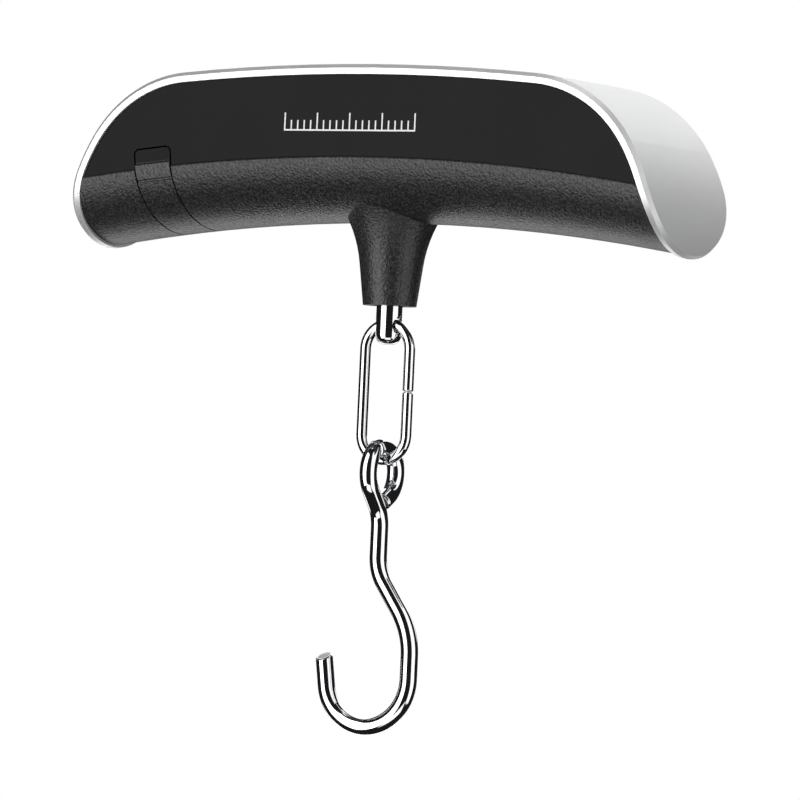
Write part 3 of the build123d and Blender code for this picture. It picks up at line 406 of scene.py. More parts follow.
@dataclass(frozen=True)
class PlainPlastic(Finish):
    """Moulded plastic of one colour with a faint grain and slightly uneven gloss."""

    colour: Colour = (0.8, 0.8, 0.78)
    roughness: float = 0.4
    grain_size: float = 0.3 * MM
    grain_depth: float = 0.01 * MM
    specular: float = 0.5
    shade_size: float = 6 * MM
    dimmest: float = 0.88

    def wire(self, name: str) -> Wiring:
        """Gives the colour a slow change of shade and the gloss a fine grain."""
        made = Wiring(name, Specular_IOR_Level=self.specular)
        dim = dimmed(self.colour, self.dimmest)
        made.feed("Base Color", made.blend(made.noise(self.shade_size, 2.0), dim, self.colour))
        grain = made.noise(self.grain_size, 2.0)
        made.feed("Roughness", made.spread(grain, self.roughness - 0.04, self.roughness + 0.06))
        made.relief(grain, self.grain_depth, strength=0.8)
        return made


@dataclass(frozen=True)
class PlainMetal(Finish):
    """Rolled, plated or machined metal, brushed along one direction unless the stretch is even."""

    colour: Colour = (0.6, 0.6, 0.62)
    roughness: float = 0.3
    stretch: Colour = (0.08, 1.0, 1.0)
    line_size: float = 0.25 * MM
    line_depth: float = 0.012 * MM
    dimmest: float = 0.78

    def wire(self, name: str) -> Wiring:
        """Lays stretched noise as brushed lines in shade, gloss and relief."""
        made = Wiring(name, Metallic=1.0)
        lines = made.noise(self.line_size, 3.0, self.stretch)
        dim = dimmed(self.colour, self.dimmest)
        made.feed("Base Color", made.blend(made.spread(lines), dim, self.colour))
        made.feed("Roughness", made.spread(lines, self.roughness - 0.05, self.roughness + 0.1))
        made.relief(lines, self.line_depth, strength=0.6)
        return made


@dataclass(frozen=True)
class ClearWindow(Finish):
    """Clear, faintly smoked acrylic."""

    tint: Colour = (0.86, 0.89, 0.88)
    wave_size: float = 5 * MM
    haze: float = 0.02

    def wire(self, name: str) -> Wiring:
        """Lets light straight through, with a slightly uneven polish."""
        made = Wiring(name, Base_Color=self.tint, IOR=1.49, Transmission_Weight=1.0)
        made.feed("Roughness", made.spread(made.noise(self.wave_size, 2.0), to_high=self.haze))
        return made


@dataclass(frozen=True)
class DisplayGlass(Finish):
    """Grey-green reflective liquid crystal glass."""

    colour: Colour = (0.36, 0.41, 0.35)
    dimmest: float = 0.86
    speckle_size: float = 0.09 * MM
    polish_size: float = 4 * MM

    def wire(self, name: str) -> Wiring:
        """Speckles the rear reflector finely and varies the glass's polish."""
        made = Wiring(name, Metallic=0.0, Specular_IOR_Level=0.5)
        speckle = made.remap(made.noise(self.speckle_size, 1.0), low=0.35, high=0.65)
        made.feed("Base Color", made.blend(speckle, dimmed(self.colour, self.dimmest), self.colour))
        made.feed("Roughness", made.spread(made.noise(self.polish_size, 1.0), to_low=0.16, to_high=0.24))
        return made


@dataclass(frozen=True)
class BoardMask(Finish):
    """Green solder mask with copper tracks showing through it as lighter, raised lines."""

    mask: Colour = (0.012, 0.085, 0.035)
    track: Colour = (0.03, 0.19, 0.085)
    pitch: float = 1.9 * MM
    bend_size: float = 9 * MM
    bend_reach: float = 6 * MM
    gloss_size: float = 1 * MM
    track_depth: float = 0.04 * MM

    def wire(self, name: str) -> Wiring:
        """Draws tracks as the crests of waves along Z that random cells bend."""
        made = Wiring(name, Specular_IOR_Level=0.5, Coat_Weight=0.3, Coat_Roughness=0.2)
        bend = made.sums("MULTIPLY", made.cells(self.bend_size), self.bend_reach)
        along = made.sums("ADD", made.axis("Z"), bend)
        wave = made.sums("SINE", made.sums("MULTIPLY", along, 2 * pi / self.pitch))
        track = made.remap(wave, low=0.55, high=0.75)
        made.feed("Base Color", made.blend(track, self.mask, self.track))
        made.feed("Roughness", made.spread(made.noise(self.gloss_size, 2.0), to_low=0.28, to_high=0.4))
        made.relief(track, self.track_depth, strength=0.8)
        return made


@dataclass(frozen=True)
class PrintedInk(Finish):
    """Pad-printed ink, thin and slightly uneven."""

    colour: Colour = (0.86, 0.86, 0.86)
    name_end: str = "_ink"
    dimmest: float = 0.85
    mottle_size: float = 0.18 * MM

    def suffix(self) -> str:
        """Tells the ink from the plastic that it is printed on."""
        return self.name_end

    def wire(self, name: str) -> Wiring:
        """Breaks up the ink's shade with fine noise."""
        made = Wiring(name, Specular_IOR_Level=0.4)
        mottle = made.noise(self.mottle_size, 2.0)
        share = made.remap(mottle, low=0.35, high=0.65)
        made.feed("Base Color", made.blend(share, dimmed(self.colour, self.dimmest), self.colour))
        made.feed("Roughness", made.spread(mottle, to_low=0.42, to_high=0.55))
        return made


SILVER = SprayedSilver("silver_shell")
BLACK = MouldedBlack("black_grip")
CHROME = ChromedWire("chrome_wire")
CUT_WIRE = CutWireEnd("chrome_wire")
ZINC = PlainMetal("zinc_steel", (0.55, 0.56, 0.58), 0.32)
WHITE_PLASTIC = PlainPlastic("white_plastic", (0.78, 0.78, 0.75), 0.42)


# ------------------------------------------------------------------ meshes
def grid_faces(rows: int, columns: int) -> np.ndarray:
    """Numbers the quads of a grid whose columns close on themselves.

    Args:
        rows: rings along the path.
        columns: points round each ring.

    Returns:
        Array of quads, wound outwards for rings that turn left about the path.
    """
    row, column = np.meshgrid(np.arange(rows - 1), np.arange(columns), indexing="ij")
    after = (column + 1) % columns
    quads = np.stack([row * columns + column, row * columns + after,
                      (row + 1) * columns + after, (row + 1) * columns + column], axis=-1)
    return quads.reshape(-1, 4)


def plates(name: str, outlines: list[np.ndarray], y_face: float, y_back: float) -> bpy.types.Object:
    """Makes thin closed plates parallel to the XZ plane.

    Each plate is a convex outline carried from one depth to another: the outline's points at
    both depths, two flat faces, and one quad per side.

    Args:
        name: the piece's name.
        outlines: lists of (x, z) points, each convex and turning left as seen from -Y.
        y_face: depth of the face that is seen.
        y_back: depth of the other face.

    Returns:
        The new object.
    """
    corners, faces, start = [], [], 0
    outward = y_face < y_back
    for outline in outlines:
        n = len(outline)
        for depth in (y_face, y_back):
            corners.append(np.column_stack([outline[:, 0], np.full(n, depth), outline[:, 1]]))
        front = list(range(start, start + n))
        back = list(range(start + n, start + 2 * n))
        faces.append(front if outward else front[::-1])
        faces.append(back[::-1] if outward else back)
        for k in range(n):
            side = [front[k], back[k], back[(k + 1) % n], front[(k + 1) % n]]
            faces.append(side if outward else side[::-1])
        start += 2 * n
    mesh = bpy.data.meshes.new(name)
    mesh.from_pydata(np.concatenate(corners).tolist(), [], faces)
    mesh.validate()
    piece = bpy.data.objects.new(name, mesh)
    bpy.context.scene.collection.objects.link(piece)
    return piece


def box_outline(x: float, z: float, width: float, height: float) -> np.ndarray:
    """Gives a rectangle's corners about its middle, turning left as seen from -Y."""
    half = np.array([[-1, -1], [1, -1], [1, 1], [-1, 1]]) * (width / 2, height / 2)
    return half + (x, z)


def ring_outlines(x: float, z: float, inner: float, outer: float, start: float, end: float,
                  pieces: int) -> list[np.ndarray]:
    """Cuts a flat ring into short convex plates.

    Each plate's corners are (x, z) + r (cos a, sin a) at two radii and two angles.

    Args:
        x: ring's middle along X.
        z: ring's middle along Z.
        inner: inner radius.
        outer: outer radius.
        start: first angle in radians.
        end: last angle in radians.
        pieces: number of plates.

    Returns:
        The plates' outlines.
    """
    angles = np.linspace(start, end, pieces + 1)
    ring = []
    for a, b in zip(angles[:-1], angles[1:]):
        ring.append(np.array([(x + r * cos(t), z + r * sin(t))
                              for r, t in ((inner, a), (outer, a), (outer, b), (inner, b))]))
    return ring


# ------------------------------------------------------------------ dressing
@dataclass
class SubAssembly:
    """A group of CAD nodes and new pieces that are dressed together."""

    nodes: dict[str, bpy.types.Object]

    def dress(self, finish: Finish, *names: str) -> None:
        """Gives CAD nodes a finish through their material slots.

        Args:
            finish: the finish.
            names: the nodes' names.
        """
        for name in names:
            for slot in self.nodes[name].material_slots:
                slot.material = finish.made()
            LOG.info("%s takes %s", name, finish.slot)

    def add(self, piece: bpy.types.Object, finish: Finish, body: str) -> bpy.types.Object:
        """Dresses a new piece and makes it ride on a body.

        Args:
            piece: the new object.
            finish: its finish.
            body: the CAD body's name.

        Returns:
            The same object.
        """
        if not piece.data.materials:
            piece.data.materials.append(finish.made())
        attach(piece, body)
        LOG.info("%s rides on %s", piece.name, body)
        return piece


@dataclass
class Handle(SubAssembly):
    """Silver front shell, black rear shell with its grip and neck, and the print on the back panel."""

    mark_left: float = -15.7 * MM
    mark_right: float = 18.7 * MM
    mark_low: float = 2.4 * MM
    mark_line: float = 0.35 * MM
    mark_steps: int = 20
    mark_group: int = 5
    mark_tall: float = 3.8 * MM
    mark_short: float = 2.1 * MM
    ink: float = 0.02 * MM
    panel_recess: float = 0.6 * MM

    def build(self) -> None:
        """Dresses the shells and prints the graduation."""
        self.dress(SILVER, "front_shell")
        self.dress(BLACK, "rear_shell")
        self.graduation()

    def graduation(self) -> None:
        """Prints a plain measuring graduation: a base line and ticks, the first of each group taller.

        Tick k stands at x = left + k (right - left) / steps.
        """
        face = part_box("front_shell")[1].y - self.panel_recess
        middle = (self.mark_left + self.mark_right) / 2
        length = self.mark_right - self.mark_left
        outlines = [box_outline(middle, self.mark_low, length + self.mark_line, self.mark_line)]
        for k in range(self.mark_steps + 1):
            tall = self.mark_tall if k % self.mark_group == 0 else self.mark_short
            x = self.mark_left + k * length / self.mark_steps
            low = self.mark_low + self.mark_line / 2
            outlines.append(box_outline(x, low + tall / 2, self.mark_line, tall))
        mark = plates("graduation_print", outlines, face + self.ink, face - self.ink)
        self.add(mark, PrintedInk("black_grip"), "handle")


class Segment(Enum):
    """The seven bars of a digit, as (x, z, lying) in half widths and half heights of the digit."""

    TOP = (0, 1, True)
    MIDDLE = (0, 0, True)
    BOTTOM = (0, -1, True)
    UPPER_LEFT = (-1, 0.5, False)
    UPPER_RIGHT = (1, 0.5, False)
    LOWER_LEFT = (-1, -0.5, False)
    LOWER_RIGHT = (1, -0.5, False)


@dataclass
class Display(SubAssembly):
    """Lens, liquid crystal glass with its frame and contact strip, board, chip and board screws."""

    digit_width: float = 4.4 * MM
    digit_height: float = 8.0 * MM
    digit_pitch: float = 7.4 * MM
    digit_count: int = 4
    blank_places: int = 1
    point_after: int = 2
    bar: float = 0.95 * MM
    bar_gap: float = 0.16 * MM
    slant: float = 0.12
    film: float = 0.02 * MM

    def build(self) -> None:
        """Dresses the display stack and shows a row of noughts."""
        self.dress(ClearWindow("clear_lens"), "display_lens")
        self.dress(DisplayGlass("display_glass"), "lcd_panel")
        self.dress(WHITE_PLASTIC, "lcd_frame")
        self.dress(PlainPlastic("black_rubber", (0.03, 0.03, 0.032), 0.6), "elastomer_strip")
        self.dress(BoardMask("board_green"), "circuit_board")
        self.dress(PlainPlastic("chip_resin", (0.012, 0.012, 0.013), 0.22), "controller_chip")
        self.dress(ZINC, "board_screws")
        self.digits()

    def bar_outline(self, x: float, z: float, length: float, lying: bool) -> np.ndarray:
        """Gives one pointed bar: a hexagon whose ends come to a point half a bar away.

        Args:
            x: middle of the bar along X.
            z: middle of the bar along Z.
            length: length between the points.
            lying: whether the bar lies flat.

        Returns:
            The outline, turning left as seen from -Y.
        """
        half, wide = length / 2, self.bar / 2
        along = np.array([-half, -half + wide, half - wide, half, half - wide, -half + wide])
        across = np.array([0, -wide, -wide, 0, wide, wide])
        if lying:
            return np.column_stack([x + along, z + across])
        return np.column_stack([x - across, z + along])

    def digits(self) -> None:
        """Lays noughts with a decimal point on the glass; each point is sheared by x = x + slant z."""
        low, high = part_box("lcd_panel")
        middle = (low + high) / 2
        outlines = []
        for place in range(self.blank_places, self.digit_count):
            centre = (place - (self.digit_count - 1) / 2) * self.digit_pitch
            for part in Segment:
                if part is Segment.MIDDLE:
                    continue
                x, z, lying = part.value
                length = (self.digit_width if lying else self.digit_height / 2) - self.bar_gap
                outlines.append(self.bar_outline(centre + x * self.digit_width / 2,
                                                 z * self.digit_height / 2, length, lying))
        dot_x = (self.point_after - self.digit_count / 2) * self.digit_pitch
        outlines.append(box_outline(dot_x, -self.digit_height / 2, self.bar, self.bar))
        sheared = [np.column_stack([o[:, 0] + self.slant * o[:, 1] + middle.x, o[:, 1] + middle.z])
                   for o in outlines]
        piece = plates("display_digits", sheared, low.y - self.film, low.y + self.film)
        self.add(piece, PrintedInk("display_glass", (0.02, 0.025, 0.022), "_segments"), "handle")


@dataclass
class Controls(SubAssembly):
    """The two buttons, their switches and the marks on their caps."""

    ring_inner: float = 1.25 * MM
    ring_outer: float = 1.65 * MM
    ring_open: float = radians(38)
    stroke: float = 0.4 * MM
    ink: float = 0.02 * MM
    arrow_width: float = 1.5 * MM
    arrow_height: float = 1.1 * MM
    arrow_gap: float = 0.35 * MM
    ring_pieces: int = 40
    bar_lift: float = 0.75  # middle of the bar, in outer radii above the ring's middle

    def build(self) -> None:
        """Dresses the buttons and switches and prints the marks."""
        button = PlainPlastic("silver_button", (0.62, 0.63, 0.64), 0.3,
                              grain_size=0.2 * MM, grain_depth=0.006 * MM)
        self.dress(button, "power_button", "unit_button")
        case = PlainPlastic("switch_case", (0.03, 0.03, 0.032), 0.35)
        self.dress(case, "power_switch", "unit_switch")
        plunger = PlainPlastic("switch_plunger", (0.75, 0.73, 0.66), 0.4)
        self.dress(plunger, "power_switch_plunger", "unit_switch_plunger")
        self.marks()

    def marks(self) -> None:
        """Prints an open ring with a bar on one cap, and arrows up and down on the other."""
        ink = PrintedInk("silver_button", (0.05, 0.05, 0.055))
        low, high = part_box("power_button")
        x, z = (low.x + high.x) / 2, (low.z + high.z) / 2
        ring = ring_outlines(x, z, self.ring_inner, self.ring_outer, pi / 2 + self.ring_open,
                             pi / 2 + 2 * pi - self.ring_open, self.ring_pieces)
        bar = box_outline(x, z + self.ring_outer * self.bar_lift, self.stroke, self.ring_outer)
        mark = plates("power_mark", [*ring, bar], low.y - self.ink, low.y + self.ink)
        self.add(mark, ink, "power_button")
        low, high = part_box("unit_button")
        x, z = (low.x + high.x) / 2, (low.z + high.z) / 2
        base = z + self.arrow_gap
        tip = base + self.arrow_height
        half = self.arrow_width / 2
        up = np.array([(x - half, base), (x + half, base), (x, tip)])
        down = np.array([(2 * x - px, 2 * z - pz) for px, pz in up])
        mark = plates("unit_mark", [up, down], low.y - self.ink, low.y + self.ink)
        self.add(mark, ink, "unit_button")


@dataclass
class BatteryBay(SubAssembly):
    """Door, coin cell, cradle, contacts and leads."""

    door_crease: float = -2.55 * MM

    def build(self) -> None:
        """Dresses the bay's pieces."""
        self.dress(MouldedBlack("black_grip", self.door_crease), "battery_door")
        steel = PlainMetal("cell_steel", (0.68, 0.68, 0.67), 0.26, stretch=(1, 1, 1), line_size=0.2 * MM)
        self.dress(steel, "coin_cell")
        self.dress(WHITE_PLASTIC, "battery_cradle")
        self.dress(PlainMetal("contact_spring", (0.72, 0.64, 0.42), 0.24), "positive_contact",
                   "negative_contact")
        self.dress(PlainPlastic("lead_insulation", (0.45, 0.02, 0.018), 0.45), "battery_leads", "cell_lead")


@dataclass
class WeighingUnit(SubAssembly):
    """Steel frame, spacer, load cell with its gauges, and the stud's washer and nut."""

    def build(self) -> None:
        """Dresses the weighing unit."""
        self.dress(ZINC, "load_frame", "cell_spacer", "frame_screws", "cell_screws", "stud_washer",
                   "stud_nut")
        self.dress(PlainMetal("aluminium_bar", (0.74, 0.75, 0.76), 0.34), "load_cell")
        self.dress(PlainPlastic("gauge_foil", (0.72, 0.38, 0.10), 0.3), "strain_gauges")


# ------------------------------------------------------------------ wires
@dataclass
class WirePath:
    """A wire's centreline as straight runs and arcs, sampled evenly along its length."""

    step: float
    points: list[np.ndarray] = field(default_factory=list)
    heading: np.ndarray = field(default_factory=lambda: np.array([0.0, 0.0, -1.0]))

    def start(self, point: tuple[float, float, float], heading: tuple[float, float, float]) -> "WirePath":
        """Begins the path at a point, heading in a direction."""
        self.points = [np.array([point], float)]
        self.heading = np.array(heading, float) / np.linalg.norm(heading)
        return self

    def run(self, length: float) -> "WirePath":
        """Goes straight on: p = p0 + s h for s up to the length."""
        n = max(MIN_RUN_STEPS, round(length / self.step))
        s = np.linspace(0, length, n + 1)[1:, None]
        self.points.append(self.points[-1][-1] + s * self.heading)
        return self

    def turn(self, radius: float, degrees_turned: float, axis: tuple[float, float, float]) -> "WirePath":
        """Turns about an axis: the radius vector is rotated, p = c + cos(a) r + sin(a) (axis x r).

        Args:
            radius: radius of the arc.
            degrees_turned: how far the heading turns, in degrees.
            axis: unit axis of the turn, about which the heading turns left.

        Returns:
            The same path.
        """
        axle = np.array(axis, float)
        inward = np.cross(axle, self.heading)
        centre = self.points[-1][-1] + radius * inward
        angle = radians(degrees_turned)
        n = max(MIN_TURN_STEPS, round(radius * angle / self.step))
        a = np.linspace(0, angle, n + 1)[1:, None]
        arm = -radius * inward
        self.points.append(centre + np.cos(a) * arm + np.sin(a) * np.cross(axle, arm))
        self.heading = cos(angle) * self.heading + sin(angle) * np.cross(axle, self.heading)
        return self

    def line(self) -> np.ndarray:
        """Gives every point in order."""
        return np.concatenate(self.points)


def carried_axes(path: np.ndarray) -> tuple[np.ndarray, np.ndarray, np.ndarray]:
    """Gives a path's tangents and two crossways axes, the first carried along it without twist."""
    tangent = np.gradient(path, axis=0)
    tangent /= np.linalg.norm(tangent, axis=1)[:, None]
    side = np.zeros_like(path)
    first = np.cross(tangent[0], (0.0, 1.0, 0.0))
    if np.linalg.norm(first) <= 0.1:  # the path starts along Y
        first = np.cross(tangent[0], (1.0, 0.0, 0.0))
    side[0] = first / np.linalg.norm(first)
    for k in range(1, len(path)):
        carried = side[k - 1] - tangent[k] * (side[k - 1] @ tangent[k])
        side[k] = carried / np.linalg.norm(carried)
    return tangent, side, np.cross(tangent, side)


def with_ends(values: np.ndarray) -> np.ndarray:
    """Repeats a path's first and last rows for the rings that round off its ends."""
    return np.concatenate([np.repeat(values[:1], END_RINGS, 0), values[1:-1],
                           np.repeat(values[-1:], END_RINGS, 0)])


def draw_back(rings: np.ndarray, centres: np.ndarray, end: np.ndarray, along: np.ndarray,
              radius: float, cut: float, reach: float) -> None:
    """Slants a wire's far end by moving its rings back along the wire.

    Each point moves by tan(cut) (r + y), y being its height over the wire's middle along +Y. The
    move fades to nothing over the reach.

    Args:
        rings: the rings' points, changed in place.
        centres: the rings' middles.
        end: the path's last point.
        along: the path's direction there.
        radius: radius of the wire.
        cut: slant in radians.
        reach: length over which the slant fades.
    """
    left = (end - centres) @ along
    near = np.linalg.norm(end - centres, axis=1) < reach
    fade = np.where(near, np.clip(1 - left / reach, 0, 1), 0.0)
    high = rings[:, :, 1] - centres[:, None, 1]
    rings -= ((fade[:, None] * tan(cut)) * (radius + high))[:, :, None] * along


def round_wire(name: str, path: np.ndarray, radius: float, edge: float, around: int = 40,
               cut: float = 0.0, reach: float = 1.0) -> bpy.types.Object:
    """Sweeps a round wire along a path and closes its ends with a small rounded edge and a flat face.

    Each ring is p + r (cos(t) u + sin(t) v), where u is carried along the path without twist and
    v completes it. At an end the radius falls as r - e + e cos(a) while the ring moves out by
    e sin(a), and a fan closes what is left.

    Args:
        name: the piece's name.
        path: n by 3 array of centreline points.
        radius: radius of the wire.
        edge: radius of the rounded edge at each end.
        around: points round each ring.
        cut: slant of the far end towards +Y, in radians.
        reach: length over which the slant fades.

    Returns:
        The new object.
    """
    tangent, side, lift = carried_axes(path)
    quarter = np.linspace(0, pi / 2, END_RINGS + 1)[1:]
    start = np.arange(END_RINGS)[::-1]
    centres = np.concatenate([path[0] + (edge * (1 - np.sin(quarter[start])))[:, None] * tangent[0],
                              path[1:-1],
                              path[-1] - (edge * (1 - np.sin(quarter)))[:, None] * tangent[-1]])
    shrink = radius - edge + edge * np.cos(quarter)
    radii = np.concatenate([shrink[start], np.full(len(path) - 2, radius), shrink])
    t = np.linspace(0, 2 * pi, around, endpoint=False)
    across = (np.cos(t)[None, :, None] * with_ends(side)[:, None]
              + np.sin(t)[None, :, None] * with_ends(lift)[:, None])
    rings = centres[:, None] + radii[:, None, None] * across
    draw_back(rings, centres, path[-1], tangent[-1], radius, cut, reach)
    last_pole = path[-1:] - radius * tan(cut) * tangent[-1]
    corners = np.concatenate([rings.reshape(-1, 3), path[:1], last_pole])
    k = np.arange(around)
    pole = len(rings) * around
    top = pole - around
    low_fan = np.stack([np.full(around, pole), (k + 1) % around, k], axis=-1)
    high_fan = np.stack([np.full(around, pole + 1), top + k, top + (k + 1) % around], axis=-1)
    quads = grid_faces(len(rings), around)
    mesh = bpy.data.meshes.new(name)
    mesh.from_pydata(corners.tolist(), [], quads.tolist() + low_fan.tolist() + high_fan.tolist())
    mesh.validate()
    mesh.polygons.foreach_set("use_smooth", np.ones(len(mesh.polygons), bool))
    flat = np.zeros(len(mesh.polygons), np.int32)
    flat[-2 * around:] = 1
    mesh.materials.append(CHROME.made())
    mesh.materials.append(CUT_WIRE.made())
    mesh.polygons.foreach_set("material_index", flat)
    piece = bpy.data.objects.new(name, mesh)
    bpy.context.scene.collection.objects.link(piece)
    return piece


@dataclass
class Suspension(SubAssembly):
    """Stud, oval link and open hook."""

    step: float = 0.35 * MM
    link_wire: float = 1.25 * MM
    link_bend: float = 5.9 * MM
    link_leg: float = 19.7 * MM
    seam_drop: float = 9.7 * MM
    seam_gap: float = 0.12 * MM
    hook_wire: float = 2.0 * MM
    eye: float = 6.3 * MM
    eye_spread: float = 40.0
    eye_leg: float = 8.0 * MM
    eye_close: float = 60.0
    eye_end: float = 3.0 * MM
    shank: float = 6.6 * MM
    bulge: float = 11.0 * MM
    bulge_turn: float = 35.0
    bulge_run: float = 7.4 * MM
    back: float = 17.8 * MM
    back_run: float = 5.25 * MM
    bowl_outer: float = 11.55 * MM
    bowl_inner: float = 10.3 * MM
    bowl_inner_turn: float = 82.0
    tip_run: float = 8.0 * MM
    tip_cut: float = 25.0
    tip_slope_reach: float = 3.0 * MM
    tip_edge: float = 0.5 * MM
    hook_sides: int = 48
    seam_edge: float = 0.42 * MM

    def build(self) -> None:
        """Dresses the stud and draws the link's and the hook's wire."""
        self.dress(CHROME, "pull_stud")
        self.add_link()
        self.add_hook()

    def add_link(self) -> None:
        """Bends the link: down the leg from the seam, round below, up the far leg and over the top."""
        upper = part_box("link")[1].z - self.link_wire - self.link_bend
        seam = upper - self.seam_drop
        path = WirePath(self.step).start((-self.link_bend, 0, seam - self.seam_gap / 2), (0, 0, -1))
        path.run(self.link_leg - self.seam_drop - self.seam_gap / 2)
        path.turn(self.link_bend, 180, (0, -1, 0))
        path.run(self.link_leg)
        path.turn(self.link_bend, 180, (0, -1, 0))
        path.run(self.seam_drop - self.seam_gap / 2)
        link = round_wire("link_wire", path.line(), self.link_wire, self.seam_edge)
        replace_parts(self.add(link, CHROME, "link"), "link")

    def add_hook(self) -> None:
        """Bends the hook: round the eye from its free end, down the shank, then out and round the bowl.

        The eye's leg leaves at the spread angle and curves back onto the shank's line, so the
        straight between them is (R cos s - r (1 - cos s)) / sin s.
        """
        spread = radians(self.eye_spread)
        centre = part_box("hook")[1].z - self.hook_wire - self.eye
        leg = (self.eye * cos(spread) - self.eye_leg * (1 - cos(spread))) / sin(spread)
        close = radians(self.eye_close)
        start = np.array([0, -self.eye * cos(close), centre - self.eye * sin(close)])
        heading = np.array([0, sin(close), -cos(close)])
        path = WirePath(self.step).start(tuple(start + self.eye_end * heading), tuple(-heading))
        path.run(self.eye_end)
        path.turn(self.eye, 180 + self.eye_spread + self.eye_close, (-1, 0, 0))
        path.run(leg)
        path.turn(self.eye_leg, self.eye_spread, (1, 0, 0))
        path.run(self.shank)
        path.turn(self.bulge, self.bulge_turn, (0, 1, 0))
        path.run(self.bulge_run)
        path.turn(self.back, self.bulge_turn, (0, -1, 0))
        path.run(self.back_run)
        path.turn(self.bowl_outer, 90, (0, -1, 0))
        path.turn(self.bowl_inner, self.bowl_inner_turn, (0, -1, 0))
        path.run(self.tip_run)
        hook = round_wire("hook_wire", path.line(), self.hook_wire, self.tip_edge, self.hook_sides,
                          radians(self.tip_cut), self.tip_slope_reach)
        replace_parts(self.add(hook, CHROME, "hook"), "hook")


# ------------------------------------------------------------------ studio
@dataclass(frozen=True)
class SoftBox:
    """A rectangular soft box that faces the object. All its angles are in degrees."""

    name: str
    azimuth: float  # round the object, 0 on the display side
    elevation: float  # above the horizon
    width: float  # span sideways
    height: float  # span upwards
    radiance: float  # brightness of its surface, 1 for white


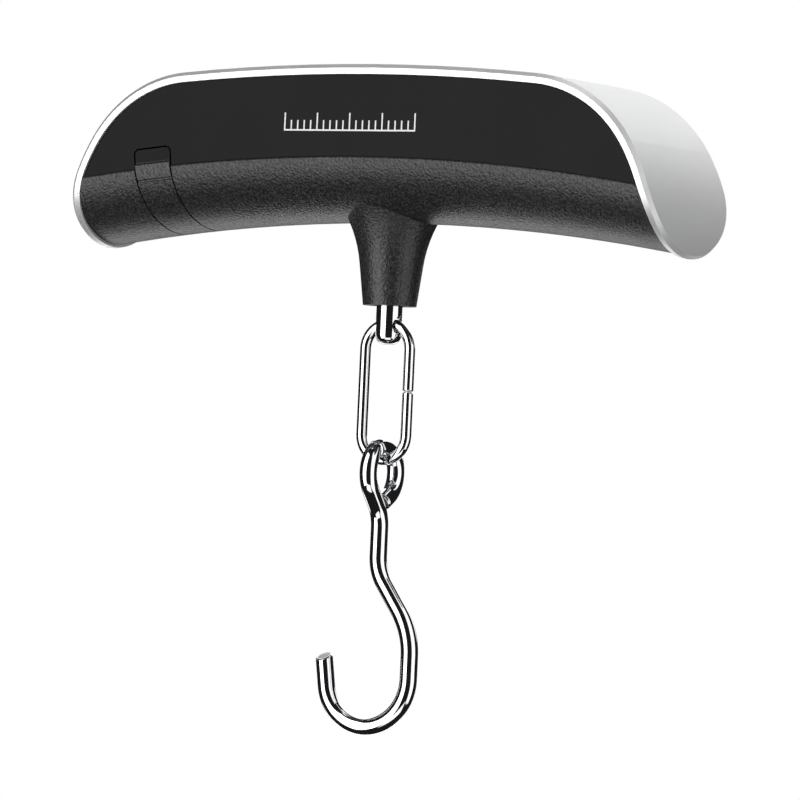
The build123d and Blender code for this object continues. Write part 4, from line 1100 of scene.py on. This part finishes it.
@dataclass
class Studio:
    """Camera, soft boxes, surroundings and a pale floor."""

    azimuth: float = 210.0
    elevation: float = -1.14
    aim: tuple[float, float, float] = (-0.01158, 0.0133, -0.05861)
    distance: float = 1.3456
    lens: float = 265.8
    sensor: float = 36.0
    clip_near: float = 0.01
    clip_far: float = 50.0
    roll: float = 0.0453
    floor_drop: float = 0.45
    floor_radius: float = 2.2
    floor_inner: float = 0.02
    floor_rings: int = 12
    floor_sides: int = 96
    floor_shade: Colour = (0.92, 0.92, 0.92)
    floor_glow: float = 0.45
    floor_grain: float = 0.02
    floor_relief: float = 0.0002
    box_distance: float = 1.2
    box_height: float = -0.05
    room: float = 0.012
    boxes: tuple[SoftBox, ...] = (
        SoftBox("key", 158.0, 8.0, 46.0, 96.0, 2.5),
        SoftBox("fill", 267.0, 6.0, 48.0, 94.0, 1.3),
        SoftBox("front", 14.0, 29.0, 66.0, 50.0, 1.3),
        SoftBox("low_back", 36.0, -30.0, 60.0, 22.0, 1.7),
        SoftBox("low_front", 205.0, -50.0, 46.0, 24.0, 1.3),
        SoftBox("overhead", 300.0, 84.0, 30.0, 30.0, 1.6),
    )

    def build(self) -> None:
        """Sets up the view and the light."""
        bpy.context.scene.view_settings.view_transform = "Standard"
        self.camera()
        self.surroundings()
        self.lights()
        self.floor()

    def camera(self) -> None:
        """Places the camera on the back panel's side and rolls it a little, as the handle hangs."""
        back = outward(self.azimuth, self.elevation)
        data = bpy.data.cameras.new("camera")
        data.lens = self.lens
        data.sensor_width = self.sensor
        data.clip_start = self.clip_near
        data.clip_end = self.clip_far
        camera = bpy.data.objects.new("camera", data)
        camera.location = Vector(self.aim) + back * self.distance
        look = back.to_track_quat("Z", "Y").to_matrix()
        camera.rotation_euler = (look @ Matrix.Rotation(self.roll, 3, "Z")).to_euler()
        bpy.context.scene.collection.objects.link(camera)
        bpy.context.scene.camera = camera
        LOG.info("camera at %s", tuple(camera.location))

    def surroundings(self) -> None:
        """Fills the world with white as seen directly, and with a dim room for reflections."""
        world = bpy.data.worlds.new("room")
        bpy.context.scene.world = world
        world.use_nodes = True
        tree = world.node_tree
        tree.nodes.clear()
        output = tree.nodes.new("ShaderNodeOutputWorld")
        mix = tree.nodes.new("ShaderNodeMixShader")
        seen = tree.nodes.new("ShaderNodeBackground")
        seen.inputs["Color"].default_value = rgba((1.0, 1.0, 1.0))
        room = tree.nodes.new("ShaderNodeBackground")
        room.inputs["Color"].default_value = rgba((self.room, self.room, self.room))
        path = tree.nodes.new("ShaderNodeLightPath")
        tree.links.new(path.outputs["Is Camera Ray"], mix.inputs[0])
        tree.links.new(room.outputs[0], mix.inputs[1])
        tree.links.new(seen.outputs[0], mix.inputs[2])
        tree.links.new(mix.outputs[0], output.inputs["Surface"])

    def soft_box(self, box: SoftBox) -> None:
        """Hangs one soft box; a box of radiance L and area A takes pi L A of power."""
        back = outward(box.azimuth, box.elevation)
        data = bpy.data.lights.new(box.name, "AREA")
        data.shape = "RECTANGLE"
        data.size = 2 * self.box_distance * tan(radians(box.width / 2))
        data.size_y = 2 * self.box_distance * tan(radians(box.height / 2))
        data.energy = box.radiance * pi * data.size * data.size_y
        light = bpy.data.objects.new(box.name, data)
        light.location = Vector((0, 0, self.box_height)) + back * self.box_distance
        light.rotation_euler = back.to_track_quat("Z", "Y").to_euler()
        light.visible_camera = False
        bpy.context.scene.collection.objects.link(light)

    def lights(self) -> None:
        """Hangs the soft boxes, with dark gaps between them that line the bright wire."""
        for box in self.boxes:
            self.soft_box(box)

    def floor(self) -> None:
        """Lays a round pale floor below the hook: rings of points at r (cos a, sin a).

        No bright surface mirrors it, so that the hook's underside stays dark.
        """
        a = np.linspace(0, 2 * pi, self.floor_sides, endpoint=False)
        r = np.linspace(self.floor_inner, self.floor_radius, self.floor_rings)
        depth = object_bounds()[0].z - self.floor_drop
        points = np.stack([np.outer(r, np.cos(a)), np.outer(r, np.sin(a)),
                           np.full((self.floor_rings, self.floor_sides), depth)], -1)
        faces = grid_faces(self.floor_rings, self.floor_sides)[:, ::-1]
        cap = np.arange(self.floor_sides)[None, :]
        mesh = bpy.data.meshes.new("floor")
        mesh.from_pydata(points.reshape(-1, 3).tolist(), [], faces.tolist() + cap.tolist())
        mesh.validate()
        floor = bpy.data.objects.new("floor", mesh)
        bpy.context.scene.collection.objects.link(floor)
        made = Wiring("pale_floor", Base_Color=self.floor_shade, Roughness=0.8, Specular_IOR_Level=0.2,
                      Emission_Color=(1.0, 1.0, 1.0), Emission_Strength=self.floor_glow)
        made.relief(made.noise(self.floor_grain, 2.0), self.floor_relief, strength=0.2)
        floor.data.materials.append(made.material)
        floor.visible_glossy = False
        floor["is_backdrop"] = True


def main() -> None:
    """Builds each sub-assembly in order, then the studio."""
    logging.basicConfig(level=logging.INFO, format="%(name)s: %(message)s")
    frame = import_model()
    nodes = frame["nodes"]
    for group in (Handle, Display, Controls, BatteryBay, WeighingUnit, Suspension):
        group(nodes).build()
    Studio().build()


if __name__ == "__main__":
    main()
